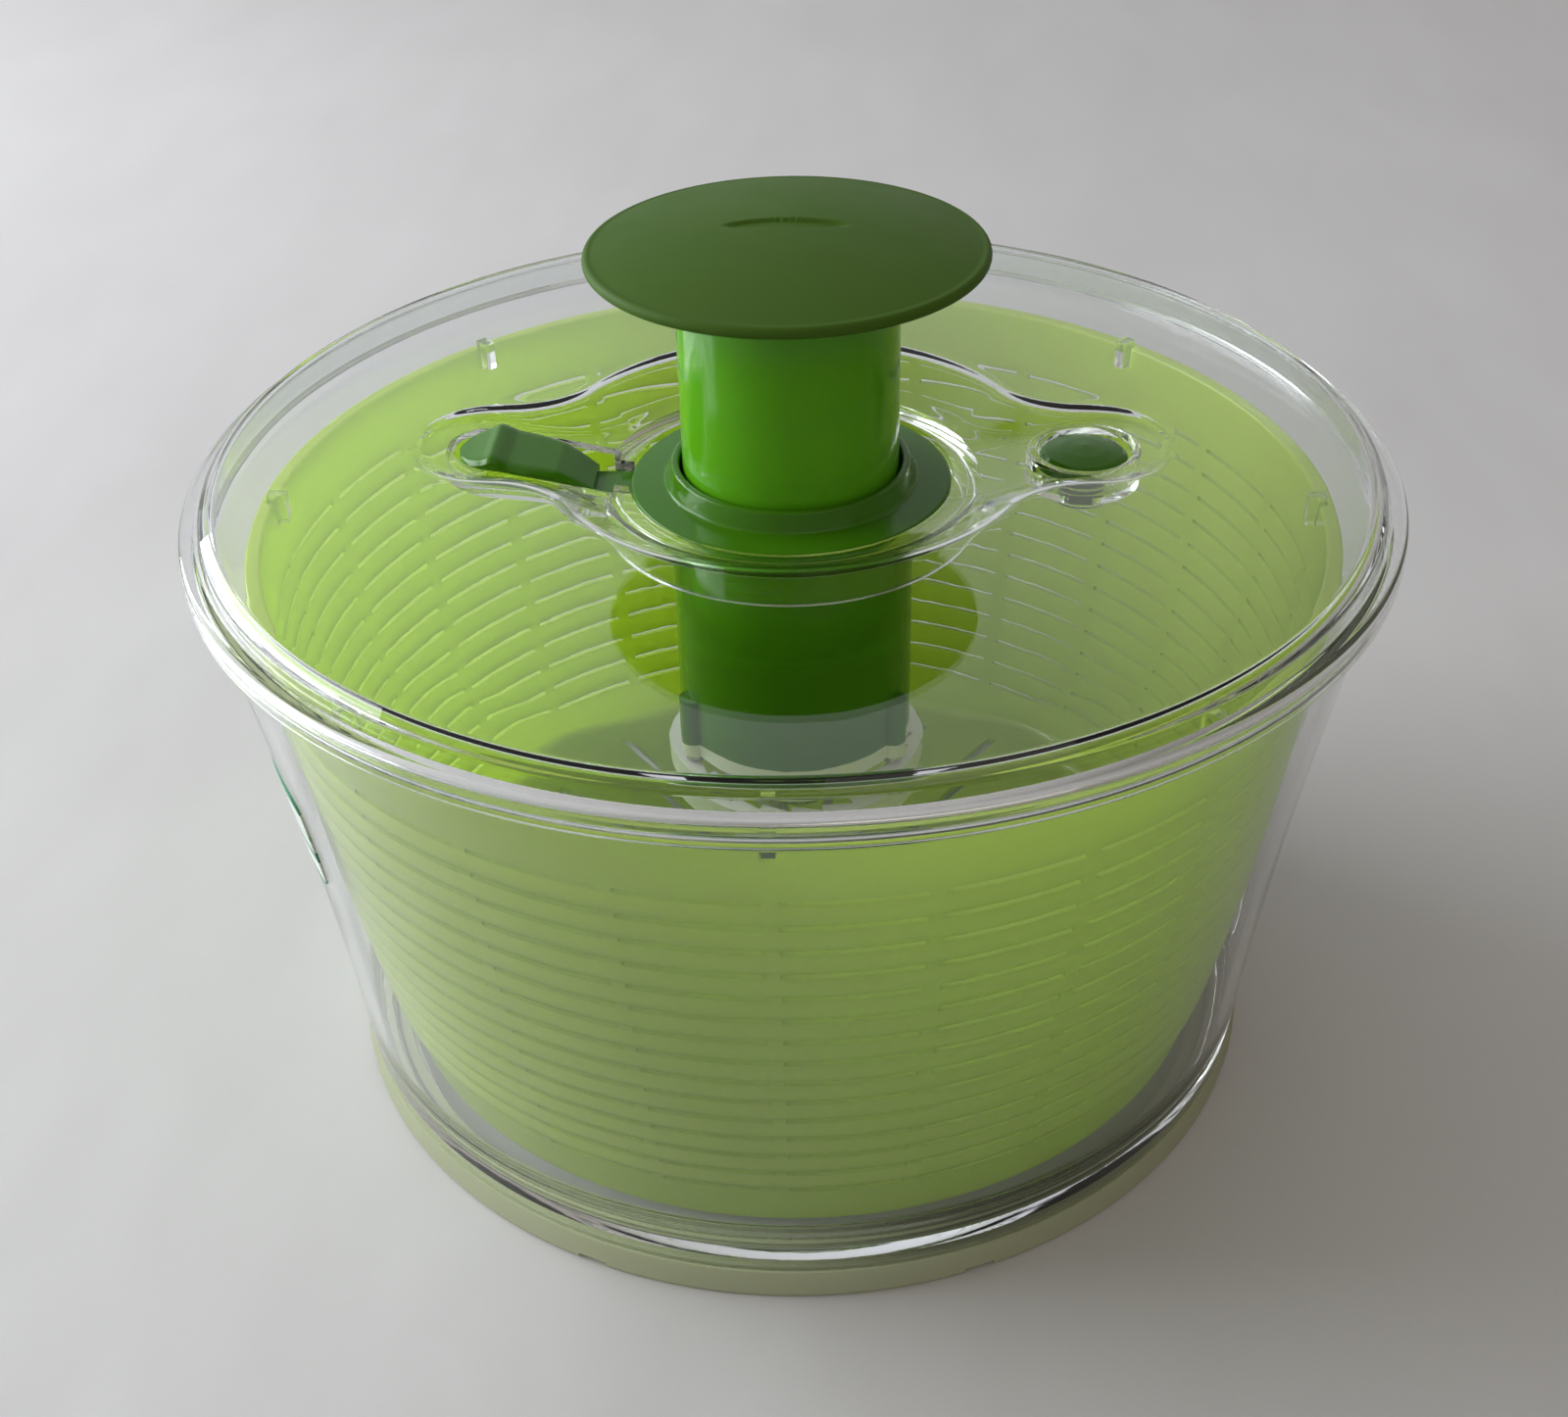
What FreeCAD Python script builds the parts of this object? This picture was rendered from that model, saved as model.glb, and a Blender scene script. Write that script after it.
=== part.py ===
import FreeCAD, Part
import math
import os

# Salad spinner: a clear bowl with a basket that turns inside it, and a clear lid that carries
# the hand pump.  Pressing the knob pushes a nut down a twisted screw; the screw turns a one-way
# clutch, and the clutch turns the drive disc, whose lugs drop into the basket rim.
# Frame: millimetres, +Z up, origin at the centre of the foot ring on the table.
# +X points to the brake button and -X to the lock slider.

V = FreeCAD.Vector
UP = V(0, 0, 1)
ORIGIN = V(0, 0, 0)

# ---- driving dimensions -------------------------------------------------------------------

RUNNING_GAP = 0.05          # radial gap of a shaft in its bore
CLEAR_GAP = 0.3             # gap between faces that only pass each other

# bowl
LIP_R = 133.35
LIP_BOTTOM_Z = 140.0
LIP_TOP_Z = 146.0
LIP_INNER_R = 129.0
BOWL_FOOT_R = 111.3
BOWL_MID_R = 118.5
BOWL_TOP_R = 129.5
BOWL_WALL = 2.5
BOWL_BASE_Z = 7.0
BOWL_FLOOR_Z = 10.0
BOWL_MID_Z = 72.5
BOWL_TOP_Z = 138.0
BOWL_CORNER_R = 10.0
LID_STEP_Z = 140.0
PIVOT_R = 8.0
PIVOT_TIP_R = 2.5
PIVOT_TIP_Z = 20.0
FOOT_OUTER_R = 112.2
FOOT_INNER_R = 103.0
FOOT_TONGUE_R = (106.0, 108.6)
FOOT_TONGUE_Z = 3.5
FOOT_NOTCH_W = 7.0
FOOT_NOTCH_H = 1.6
FOOT_NOTCH_D = 2.5
FOOT_NOTCHES = 8
LABEL_ANGLE = 193.0         # start of the label, degrees about +Z
LABEL_SPAN = 20.0
LABEL_Z = (74.0, 98.0)
LABEL_T = 0.3
LABEL_GAP = 0.02

# basket
BASKET_BOTTOM_Z = 13.0
BASKET_BOTTOM_R = 101.0
BASKET_MID_R = 112.8
BASKET_MID_Z = 71.5
BASKET_TOP_R = 119.8
BASKET_WALL = 1.8
BASKET_FLOOR_T = 2.0
BASKET_RIM_R = 121.5
BASKET_RIM_Z = (132.0, 134.0)
BASKET_SECTORS = 24
SLOT_ROWS = 15
SLOT_PITCH = 6.5
SLOT_FIRST_Z = 26.0
SLOT_HEIGHT = 1.8
SLOT_RIB_W = 3.0            # width of the upright rib between two slots
FLOOR_SLOT_R = (32.0, 88.0)
FLOOR_SLOT_W = 2.6
SOCKET_R = 14.0
SOCKET_TOP_Z = 24.0

# lid: a flat top with a bow-tie recess for the pump, the button and the slider
RIM_R = 128.7
LID_TOP_Z = 150.8
LID_TOP_T = 2.4
LID_SKIRT_T = 2.2
DISH_R = 55.0
DISH_MID = (45.6, 145.0)    # a point of the dish wall
DISH_BOTTOM = (37.0, 142.3)
WING_X = 66.0               # centre of the round end of each wing
WING_R = 17.6
WING_BLEND_R = 20.0
WING_FLOOR = (65.0, 148.4)  # a point of the wing's sloping floor
WING_LEDGE = 0.8            # depth of the shallow step round the whole recess
RECESS_WALL = 2.2
SKIRT_R = (40.4, 42.4)
SKIRT_Z = 132.0
SEAT_Z = 140.6
SEAT_R = 36.4
SEAT_T = 2.2

# bezel, knob and plunger
BEZEL_R = 35.8
BEZEL_T = 1.5
COLLAR_R = (24.9, 26.5)
COLLAR_Z = 146.9
SLEEVE_R = (24.4, 27.4)
SLEEVE_Z = 76.0
KEYWAY_W = 4.4
KEYWAY_DEPTH = 1.6
KEYWAY_TOP_Z = 131.3
BOSS_PCD_R = 27.2
BOSS_R = 3.0
BOSS_TOP_Z = 90.0
HOOK_COUNT = 3              # snap hooks under the lid's seat
HOOK_REACH = 1.2
HOOK_W = 8.0
HOOK_H = 1.8
PLUNGER_R = (22.1, 24.1)
PLUNGER_Z = (128.0, 188.6)
PLUNGER_WEB_T = 2.6
PLUNGER_KEY_R = 25.6
PLUNGER_KEY_W = 3.8
PLUNGER_KEY_H = 3.0
STROKE = 40.0
KNOB_R = 42.9
KNOB_WIDE_Z = 195.0
KNOB_TOP_Z = 201.0
KNOB_BOTTOM_Z = 190.0
GRIP_T = 2.4
KNOB_SHELL_T = 2.4
KNOB_EDGE_R = 4.4           # rounding of the knob's rim
KNOB_EDGE_MIN_R = 0.6       # rounding of the surfaces inside it
KNOB_TUCK = 1.9             # how far the rim draws in below that rounding
KNOB_HUB_R = 20.0
KNOB_RIBS = 6
KNOB_RIB_R = 38.0
KNOB_RIB_T = 1.6
RECESS_SIZE = (24.4, 5.1)
RECESS_DEPTH = 0.7
KNOB_SCREW_R = 14.0

# screws that hold the knob and the mechanism base
KNOB_SCREWS_FIRST = 30.0
BASE_SCREWS_FIRST = 90.0
SCREW_COUNT = 3
PILOT_R = 1.25
CLEARANCE_HOLE_R = 1.7
SCREW_HEAD_H = 2.0
KNOB_SCREW_HEAD_R = 2.9
BASE_SCREW_HEAD_R = 2.4
BASE_SCREW_HEAD_H = 1.6
CROSS_SLOT = (2.4, 0.8, 0.7)  # length, width and depth

# drive train
SCREW_LEAD = 30.0
SCREW_SECTION = (13.0, 4.5)
SCREW_Z = (83.0, 142.0)
SCREW_COLLAR_R = 9.0
SCREW_SHAFT_R = 5.0
SHAFT_END_Z = 56.5
NUT_Z = (128.5, 134.0)
NUT_GAP = 0.25
BASE_Z = (72.0, 76.0)
SPRING_SEAT_Z = 78.0
BUSH_R = 7.0
BUSH_FLANGE_Z = 79.0
WASHER_Z = 80.0
SPRING_MEAN_R = 16.0
SPRING_WIRE_R = 0.7
SPRING_TURNS = 6.5
CLUTCH_Z = (64.1, 69.8)
CLUTCH_HUB_R = 15.0
PAWL_COUNT = 3
PAWL_TIP_R = 26.1
RATCHET_TIP_R = 26.5
RATCHET_ROOT_R = 28.6
RATCHET_TEETH = 24
CUP_R = (31.0, 33.0)
CUP_BOTTOM_Z = (60.0, 63.6)
CUP_RIB = (2.2, 1.0, 80.0)  # width, height and lower end of the ribs down the cup's wall
DISC_Z = (129.0, 131.0)
DISC_R = 116.2
DISC_RIM_T = 2.4
DISC_RIM_Z = 137.4
LUG_R = 119.4
LUG_TOP_Z = 136.0
LUG_W = 2.6
DISC_RIB_H = 5.0
DISC_RIB_T = 1.6
LUG_COUNT = 8
NOTCH_W = 3.2
NOTCH_BOTTOM_Z = 128.4
BRAKE_TRACK_R = (61.0, 68.0)
BRAKE_TRACK_Z = 134.0
RETAINER_R = 9.5
RETAINER_Z = (57.5, 59.7)

# brake button
BUTTON_X = 64.8
BUTTON_R = 9.8
BUTTON_TOP_Z = 149.6
BUTTON_WALL = 1.6
BUTTON_SKIRT_Z = 145.6
BUTTON_STEM_R = 2.6
WELL_R = (10.3, 12.6)
WELL_TOP_Z = 148.6
WELL_SHELF_Z = (139.9, 141.5)
PAD_R = 5.0
PAD_Z = (138.2, 139.6)
PAD_GUIDE_R = 7.0
PAD_GUIDE_Z = 136.0
BRAKE_SPRING_R = 4.2
BRAKE_SPRING_WIRE_R = 0.3
BRAKE_SPRING_TURNS = 5.0

# lock slider
SLIDER_END_X = -74.0
SLIDER_END_Z = 149.0
SLIDER_END_R = 8.8          # corner radius of its round end in plan
SLIDER_HALF_W = 9.8
SLIDER_TAPER_X = -58.0      # where the pad starts to narrow
SLIDER_NECK_X = -44.0
SLIDER_NECK_Z = 143.6
SLIDER_UNDERSIDE = [(SLIDER_NECK_X, 138.0), (-47.0, 138.0), (-52.0, 142.4), (SLIDER_END_X, 144.8)]
SLIDER_NECK_HALF_W = 7.4
FINGER_RIDGE = [(-68.0, 149.8), (-65.5, 151.0, 0.8), (-63.0, 149.4), (-50.0, 146.2)]
TONGUE_HALF_W = 5.5
TONGUE_Z = (137.8, 140.2)
TONGUE_TIP_X = -25.2
SLIDER_TRAVEL = 4.0
CHANNEL_END_X = -75.2
CHANNEL_END_R = 9.2         # corner radius of its round end in plan
CHANNEL_FLOOR_Z = 137.4
CHANNEL_FLOOR = [(-47.2, CHANNEL_FLOOR_Z), (-52.0, 141.8), (CHANNEL_END_X - 2.0, 144.5)]
CHANNEL_WALL = 1.8
CHANNEL_GAP = 0.4


# ---- geometry helpers ---------------------------------------------------------------------

def rounded_corner(before, corner, after, radius):
    """Start, middle and end of the arc that rounds a corner between two straight runs."""
    to_before = (before - corner).normalize()
    to_after = (after - corner).normalize()
    half = to_before.getAngle(to_after) / 2.0
    reach = radius / math.tan(half)
    bisector = (to_before + to_after).normalize()
    middle = corner + bisector * (radius / math.sin(half) - radius)
    return corner + to_before * reach, middle, corner + to_after * reach


def face_of(points, upright):
    """Closed face through 2-D corners, upright in XZ or flat in XY.

    A third value rounds that corner by its radius.  The word "via" makes the point the middle
    of an arc between its two neighbours.
    """
    def lift(point):
        return V(point[0], 0, point[1]) if upright else V(point[0], point[1], 0)

    knots = [(lift(p), p[2] if len(p) > 2 else 0.0) for p in points]
    count = len(knots)
    stops = []
    for i, (here, kind) in enumerate(knots):
        if kind == "via":
            stops.append(("via", here))
        elif kind:
            before = knots[i - 1][0]
            after = knots[(i + 1) % count][0]
            stops.append(("round", rounded_corner(before, here, after, kind)))
        else:
            stops.append(("round", (here, None, here)))
    edges = []
    for i, (kind, data) in enumerate(stops):
        if kind == "via":
            start = stops[i - 1][1][2]
            end = stops[(i + 1) % count][1][0]
            edges.append(Part.Arc(start, data, end).toShape())
            continue
        start, middle, end = data
        if middle is not None:
            edges.append(Part.Arc(start, middle, end).toShape())
        following_kind, following = stops[(i + 1) % count]
        if following_kind == "round" and end.distanceToPoint(following[0]) > 1e-6:
            edges.append(Part.LineSegment(end, following[0]).toShape())
    return Part.Face(Part.Wire(edges))


def lathe(points, angle=360.0):
    """Solid of revolution about Z from an (r, z) outline."""
    return face_of(points, True).revolve(ORIGIN, UP, angle)


def prism(points, z0, z1):
    """Upright solid between two heights from an (x, y) outline."""
    face = face_of(points, False)
    face.translate(V(0, 0, z0))
    return face.extrude(V(0, 0, z1 - z0))


def rod(radius, z0, z1, x=0.0, y=0.0):
    return Part.makeCylinder(radius, z1 - z0, V(x, y, z0), UP)


def tube(inner, outer, z0, z1, x=0.0, y=0.0):
    return rod(outer, z0, z1, x, y).cut(rod(inner, z0 - 1, z1 + 1, x, y))


def block(x0, x1, y0, y1, z0, z1):
    return Part.makeBox(x1 - x0, y1 - y0, z1 - z0, V(x0, y0, z0))


def turned(shape, degrees):
    copy = shape.copy()
    copy.rotate(ORIGIN, UP, degrees)
    return copy


def around(shape, count, first=0.0):
    """Copies of a shape at equal steps about Z."""
    return [turned(shape, first + 360.0 * i / count) for i in range(count)]


def fused(shapes):
    first, *rest = shapes
    return first.multiFuse(rest).removeSplitter() if rest else first


def without(shape, tools):
    return shape.cut(Part.makeCompound(tools))


def coil(mean_r, wire_r, z0, z1, turns, x=0.0):
    """Open coil spring whose wire touches both end heights."""
    height = z1 - z0 - 2 * wire_r
    path = Part.makeHelix(height / turns, height, mean_r)
    ring = Part.Wire(Part.makeCircle(wire_r, V(mean_r, 0, 0), V(0, 1, 0)))
    spring = Part.Wire(path.Edges).makePipeShell([ring], True, True)
    spring.translate(V(x, 0, z0 + wire_r))
    return spring


# ---- bowl ---------------------------------------------------------------------------------

def bowl():
    inner_foot = (BOWL_FOOT_R - BOWL_WALL, BOWL_FLOOR_Z)
    shell = lathe([
        (0, BOWL_BASE_Z),
        (BOWL_FOOT_R, BOWL_BASE_Z),
        (BOWL_MID_R, BOWL_MID_Z, "via"),
        (BOWL_TOP_R, BOWL_TOP_Z),
        (BOWL_TOP_R + 1.0, LIP_BOTTOM_Z),
        (LIP_R, LIP_BOTTOM_Z, 0.8),
        (LIP_R, LIP_TOP_Z, 1.2),
        (LIP_INNER_R, LIP_TOP_Z, 0.8),
        (LIP_INNER_R, LID_STEP_Z),
        (BOWL_TOP_R - BOWL_WALL, LID_STEP_Z),
        (BOWL_TOP_R - BOWL_WALL, BOWL_TOP_Z),
        (BOWL_MID_R - BOWL_WALL, BOWL_MID_Z, "via"),
        (inner_foot[0] + 0.6, inner_foot[1] + BOWL_CORNER_R),
        (inner_foot[0] - 2.6, inner_foot[1] + 2.7, "via"),
        (inner_foot[0] - BOWL_CORNER_R, inner_foot[1]),
        (PIVOT_R + 3.0, BOWL_FLOOR_Z),
        (PIVOT_R, BOWL_FLOOR_Z + 2.0),
        (PIVOT_TIP_R, PIVOT_TIP_Z),
        (0, PIVOT_TIP_Z),
    ])
    tongue = tube(FOOT_TONGUE_R[0], FOOT_TONGUE_R[1], FOOT_TONGUE_Z, BOWL_BASE_Z + 0.5)
    return fused([shell, tongue])


def bowl_foot_ring():
    ring = lathe([
        (FOOT_INNER_R, 0.0, 0.8),
        (FOOT_OUTER_R, 0.0, 1.0),
        (BOWL_FOOT_R, BOWL_BASE_Z),
        (FOOT_TONGUE_R[1], BOWL_BASE_Z),
        (FOOT_TONGUE_R[1], FOOT_TONGUE_Z),
        (FOOT_TONGUE_R[0], FOOT_TONGUE_Z),
        (FOOT_TONGUE_R[0], BOWL_BASE_Z),
        (FOOT_INNER_R, BOWL_BASE_Z),
    ])
    half = FOOT_NOTCH_W / 2
    notch = block(FOOT_OUTER_R - FOOT_NOTCH_D, FOOT_OUTER_R + 1, -half, half, -1, FOOT_NOTCH_H)
    return without(ring, around(notch, FOOT_NOTCHES, 180.0 / FOOT_NOTCHES))


def bowl_wall_r(z):
    """Outer radius of the bowl wall at a height, from the circle through its three points."""
    circle = Part.Arc(V(BOWL_FOOT_R, 0, BOWL_BASE_Z), V(BOWL_MID_R, 0, BOWL_MID_Z),
                      V(BOWL_TOP_R, 0, BOWL_TOP_Z)).toShape().Curve
    centre = circle.Center
    reach = math.sqrt(circle.Radius ** 2 - (z - centre.z) ** 2)
    return centre.x - math.copysign(reach, centre.x - BOWL_MID_R)


def bowl_label():
    low, high = LABEL_Z
    middle = (low + high) / 2
    inside = [bowl_wall_r(z) + LABEL_GAP for z in (low, middle, high)]
    label = lathe([
        (inside[0], low),
        (inside[0] + LABEL_T, low),
        (inside[1] + LABEL_T, middle, "via"),
        (inside[2] + LABEL_T, high),
        (inside[2], high),
        (inside[1], middle, "via"),
    ], LABEL_SPAN)
    return turned(label, LABEL_ANGLE)


# ---- basket -------------------------------------------------------------------------------

def slot_cutter(z):
    """One wall slot: a wedge-shaped window between two upright ribs."""
    span = 360.0 / BASKET_SECTORS
    rib = math.degrees(SLOT_RIB_W / BASKET_MID_R)
    band = face_of([
        (BASKET_BOTTOM_R - 8, z),
        (BASKET_TOP_R + 4, z),
        (BASKET_TOP_R + 4, z + SLOT_HEIGHT),
        (BASKET_BOTTOM_R - 8, z + SLOT_HEIGHT),
    ], True)
    return turned(band.revolve(ORIGIN, UP, span - rib), rib / 2)


def basket():
    wall = lathe([
        (0, BASKET_BOTTOM_Z),
        (BASKET_BOTTOM_R - 3, BASKET_BOTTOM_Z),
        (BASKET_BOTTOM_R - 0.6, BASKET_BOTTOM_Z + 0.9, "via"),
        (BASKET_BOTTOM_R + 0.5, BASKET_BOTTOM_Z + 3),
        (BASKET_MID_R, BASKET_MID_Z, "via"),
        (BASKET_TOP_R, BASKET_RIM_Z[0]),
        (BASKET_RIM_R, BASKET_RIM_Z[0]),
        (BASKET_RIM_R, BASKET_RIM_Z[1], 0.6),
        (BASKET_TOP_R - BASKET_WALL, BASKET_RIM_Z[1], 0.6),
        (BASKET_TOP_R - BASKET_WALL, BASKET_RIM_Z[0]),
        (BASKET_MID_R - BASKET_WALL, BASKET_MID_Z, "via"),
        (BASKET_BOTTOM_R - BASKET_WALL + 1.0, BASKET_BOTTOM_Z + 6),
        (BASKET_BOTTOM_R - BASKET_WALL - 0.4, BASKET_BOTTOM_Z + BASKET_FLOOR_T + 1.3, "via"),
        (BASKET_BOTTOM_R - BASKET_WALL - 4, BASKET_BOTTOM_Z + BASKET_FLOOR_T),
        (SOCKET_R, BASKET_BOTTOM_Z + BASKET_FLOOR_T),
        (SOCKET_R - 3, SOCKET_TOP_Z, 1.0),
        (0, SOCKET_TOP_Z),
    ])
    socket = lathe([
        (0, BASKET_BOTTOM_Z - 1),
        (PIVOT_R + 1.6, BASKET_BOTTOM_Z - 1),
        (PIVOT_TIP_R + 1.0, PIVOT_TIP_Z + 0.4),
        (0, PIVOT_TIP_Z + 0.4),
    ])
    sector = 360.0 / BASKET_SECTORS
    half_slot = FLOOR_SLOT_W / 2
    floor_slot = block(FLOOR_SLOT_R[0], FLOOR_SLOT_R[1], -half_slot, half_slot,
                       BASKET_BOTTOM_Z - 1, BASKET_BOTTOM_Z + BASKET_FLOOR_T + 1)
    half_notch = NOTCH_W / 2
    notch = block(DISC_R - 2, BASKET_TOP_R + 0.3, -half_notch, half_notch,
                  NOTCH_BOTTOM_Z, BASKET_RIM_Z[1] + 1)
    cutters = [socket]
    cutters += around(floor_slot, BASKET_SECTORS, sector / 2)
    cutters += around(notch, LUG_COUNT)
    for row in range(SLOT_ROWS):
        cutters += around(slot_cutter(SLOT_FIRST_Z + row * SLOT_PITCH), BASKET_SECTORS)
    return without(wall, cutters)


# ---- lid ----------------------------------------------------------------------------------

def recess_outline():
    """Plan of the recess: a round dish with one wing towards +X and one towards -X."""
    far = DISH_R + WING_BLEND_R
    near = WING_R + WING_BLEND_R
    bx = (far ** 2 - near ** 2 + WING_X ** 2) / (2 * WING_X)
    by = math.sqrt(far ** 2 - bx ** 2)
    dish_touch = (bx * DISH_R / far, by * DISH_R / far)
    wing_touch = (WING_X + (bx - WING_X) * WING_R / near, by * WING_R / near)
    toward = ((dish_touch[0] + wing_touch[0]) / 2 - bx, (dish_touch[1] + wing_touch[1]) / 2 - by)
    reach = math.hypot(*toward)
    blend = (bx + toward[0] * WING_BLEND_R / reach, by + toward[1] * WING_BLEND_R / reach)
    return [
        (dish_touch[0], -dish_touch[1]),
        (blend[0], -blend[1], "via"),
        (wing_touch[0], -wing_touch[1]),
        (WING_X + WING_R, 0, "via"),
        wing_touch,
        (blend[0], blend[1], "via"),
        dish_touch,
        (0, DISH_R, "via"),
        (-dish_touch[0], dish_touch[1]),
        (-blend[0], blend[1], "via"),
        (-wing_touch[0], wing_touch[1]),
        (-WING_X - WING_R, 0, "via"),
        (-wing_touch[0], -wing_touch[1]),
        (-blend[0], -blend[1], "via"),
        (-dish_touch[0], -dish_touch[1]),
        (0, -DISH_R, "via"),
    ]


def dish(grow, top):
    """Round dish of the recess; grow gives the outside of its wall."""
    edge_z = LID_TOP_Z - (LID_TOP_T if grow else 0.0)
    return lathe([
        (0, DISH_BOTTOM[1] - grow),
        (DISH_BOTTOM[0] + grow / 2, DISH_BOTTOM[1] - grow),
        (DISH_MID[0] + grow / 2, DISH_MID[1] - grow, "via"),
        (DISH_R, edge_z),
        (DISH_R, top),
        (0, top),
    ])


def wings(grow, top):
    """Both wings of the recess, above a floor that rises to nothing at their tips."""
    half = WING_R + grow
    tip = WING_X + WING_R
    side = face_of([
        (0, DISH_BOTTOM[1] - grow),
        (DISH_BOTTOM[0], DISH_BOTTOM[1] - grow),
        (WING_FLOOR[0], WING_FLOOR[1] - grow),
        (tip, LID_TOP_Z - 0.1 - grow),
        (tip, top),
        (0, top),
    ], True)
    side.translate(V(0, -half, 0))
    wing = side.extrude(V(0, 2 * half, 0))
    return [wing, turned(wing, 180.0)]


def channel(grow, inner_x, top):
    """Pocket that the slider runs in; grow gives the outside of its wall."""
    half = SLIDER_HALF_W + CHANNEL_GAP + grow
    outer_x = CHANNEL_END_X - grow
    side = face_of([
        (inner_x, top),
        (inner_x, CHANNEL_FLOOR_Z - grow),
        *[(x, z - grow) for x, z in CHANNEL_FLOOR],
        (CHANNEL_FLOOR[-1][0], top),
    ], True)
    side.translate(V(0, -half, 0))
    pocket = side.extrude(V(0, 2 * half, 0))
    plan = prism([
        (outer_x, -half, CHANNEL_END_R + grow),
        (inner_x, -half),
        (inner_x, half),
        (outer_x, half, CHANNEL_END_R + grow),
    ], SKIRT_Z, LID_TOP_Z + 1)
    return pocket.common(plan)


def lid():
    plate_z = LID_TOP_Z - LID_TOP_T
    cover = lathe([
        (SEAT_R, plate_z),
        (RIM_R - LID_SKIRT_T - 1.0, plate_z),
        (RIM_R - LID_SKIRT_T, plate_z - 1.0),
        (RIM_R - LID_SKIRT_T, LID_STEP_Z),
        (RIM_R, LID_STEP_Z),
        (RIM_R, LID_TOP_Z - 2.4, 0.8),
        (RIM_R - 2.4, LID_TOP_Z, 1.0),
        (SEAT_R, LID_TOP_Z),
    ])
    plan = prism(recess_outline(), SKIRT_Z, LID_TOP_Z + 1)
    under = [dish(RECESS_WALL, LID_TOP_Z)]
    inside_tips = rod(WING_X + WING_R, SKIRT_Z, LID_TOP_Z)
    under += [wing.common(inside_tips) for wing in wings(RECESS_WALL, LID_TOP_Z)]
    seat = tube(SLEEVE_R[1] + CLEAR_GAP, SKIRT_R[1], SEAT_Z - SEAT_T, SEAT_Z + 1)
    skirt = tube(SKIRT_R[0], SKIRT_R[1], SKIRT_Z, SEAT_Z)
    well = rod(WELL_R[1], WELL_SHELF_Z[0], WELL_TOP_Z, BUTTON_X)
    guide = rod(PAD_GUIDE_R, PAD_GUIDE_Z, WELL_SHELF_Z[0], BUTTON_X)
    channel_box = channel(CHANNEL_WALL, -SKIRT_R[0], plate_z)
    body = fused([cover] + under + [seat, skirt, well, guide, channel_box])

    recess = [dish(0.0, LID_TOP_Z + 1)] + [wing.common(plan) for wing in wings(0.0, LID_TOP_Z + 1)]
    ledge = prism(recess_outline(), LID_TOP_Z - WING_LEDGE, LID_TOP_Z + 1)
    button_hole = rod(WELL_R[0], WELL_SHELF_Z[1], LID_TOP_Z, BUTTON_X)
    stem_hole = rod(BUTTON_STEM_R + CLEAR_GAP, SKIRT_Z, LID_TOP_Z, BUTTON_X)
    pad_hole = rod(PAD_R + 0.6, SKIRT_Z, WELL_SHELF_Z[0], BUTTON_X)
    neck_end = SLIDER_NECK_X + SLIDER_TRAVEL + 1.0
    slot = channel(0.0, neck_end, LID_TOP_Z)
    half_way = TONGUE_HALF_W + CHANNEL_GAP
    tongue_way = block(neck_end - 2, -SLEEVE_R[1] + 1, -half_way, half_way,
                       CHANNEL_FLOOR_Z, LID_TOP_Z)
    seat_recess = rod(SEAT_R, SEAT_Z, LID_TOP_Z + 1)
    centre_hole = rod(SLEEVE_R[1] + CLEAR_GAP, SKIRT_Z - 1, LID_TOP_Z)
    return without(body, recess + [ledge, button_hole, stem_hole, pad_hole, slot, tongue_way,
                                   seat_recess, centre_hole])


# ---- pump: bezel, sleeve, plunger and knob ------------------------------------------------

def bezel():
    body = lathe([
        (SLEEVE_R[0], SLEEVE_Z),
        (SLEEVE_R[1], SLEEVE_Z),
        (SLEEVE_R[1], SEAT_Z),
        (BEZEL_R, SEAT_Z),
        (BEZEL_R, SEAT_Z + BEZEL_T, 0.7),
        (COLLAR_R[1] + 1.6, SEAT_Z + BEZEL_T + 0.5, 1.0),
        (COLLAR_R[1], COLLAR_Z, 0.7),
        (COLLAR_R[0], COLLAR_Z, 0.7),
        (SLEEVE_R[0], SEAT_Z),
    ])
    bosses = around(rod(BOSS_R, SLEEVE_Z, BOSS_TOP_Z, BOSS_PCD_R), SCREW_COUNT, BASE_SCREWS_FIRST)
    hook_top = SEAT_Z - SEAT_T - 0.1
    hook = block(SLEEVE_R[1] - 0.6, SLEEVE_R[1] + HOOK_REACH, -HOOK_W / 2, HOOK_W / 2,
                 hook_top - HOOK_H, hook_top)
    hooks = around(hook, HOOK_COUNT, 180.0 / HOOK_COUNT)
    inside = rod(SLEEVE_R[0], SLEEVE_Z - 1, SEAT_Z)
    half_key = KEYWAY_W / 2
    keyway = block(-half_key, half_key, SLEEVE_R[0] - 1, SLEEVE_R[0] + KEYWAY_DEPTH,
                   SLEEVE_Z - 1, KEYWAY_TOP_Z)
    slot = block(-BEZEL_R, -SLEEVE_R[0] + 1, -TONGUE_HALF_W - CLEAR_GAP, TONGUE_HALF_W + CLEAR_GAP,
                 TONGUE_Z[0] - CLEAR_GAP, SEAT_Z)
    pilot = rod(PILOT_R, SLEEVE_Z - 1, SLEEVE_Z + 10, BOSS_PCD_R)
    pilots = around(pilot, SCREW_COUNT, BASE_SCREWS_FIRST)
    return without(fused([body] + bosses + hooks),
                   [inside, keyway, turned(keyway, 180.0), slot] + pilots)


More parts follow.
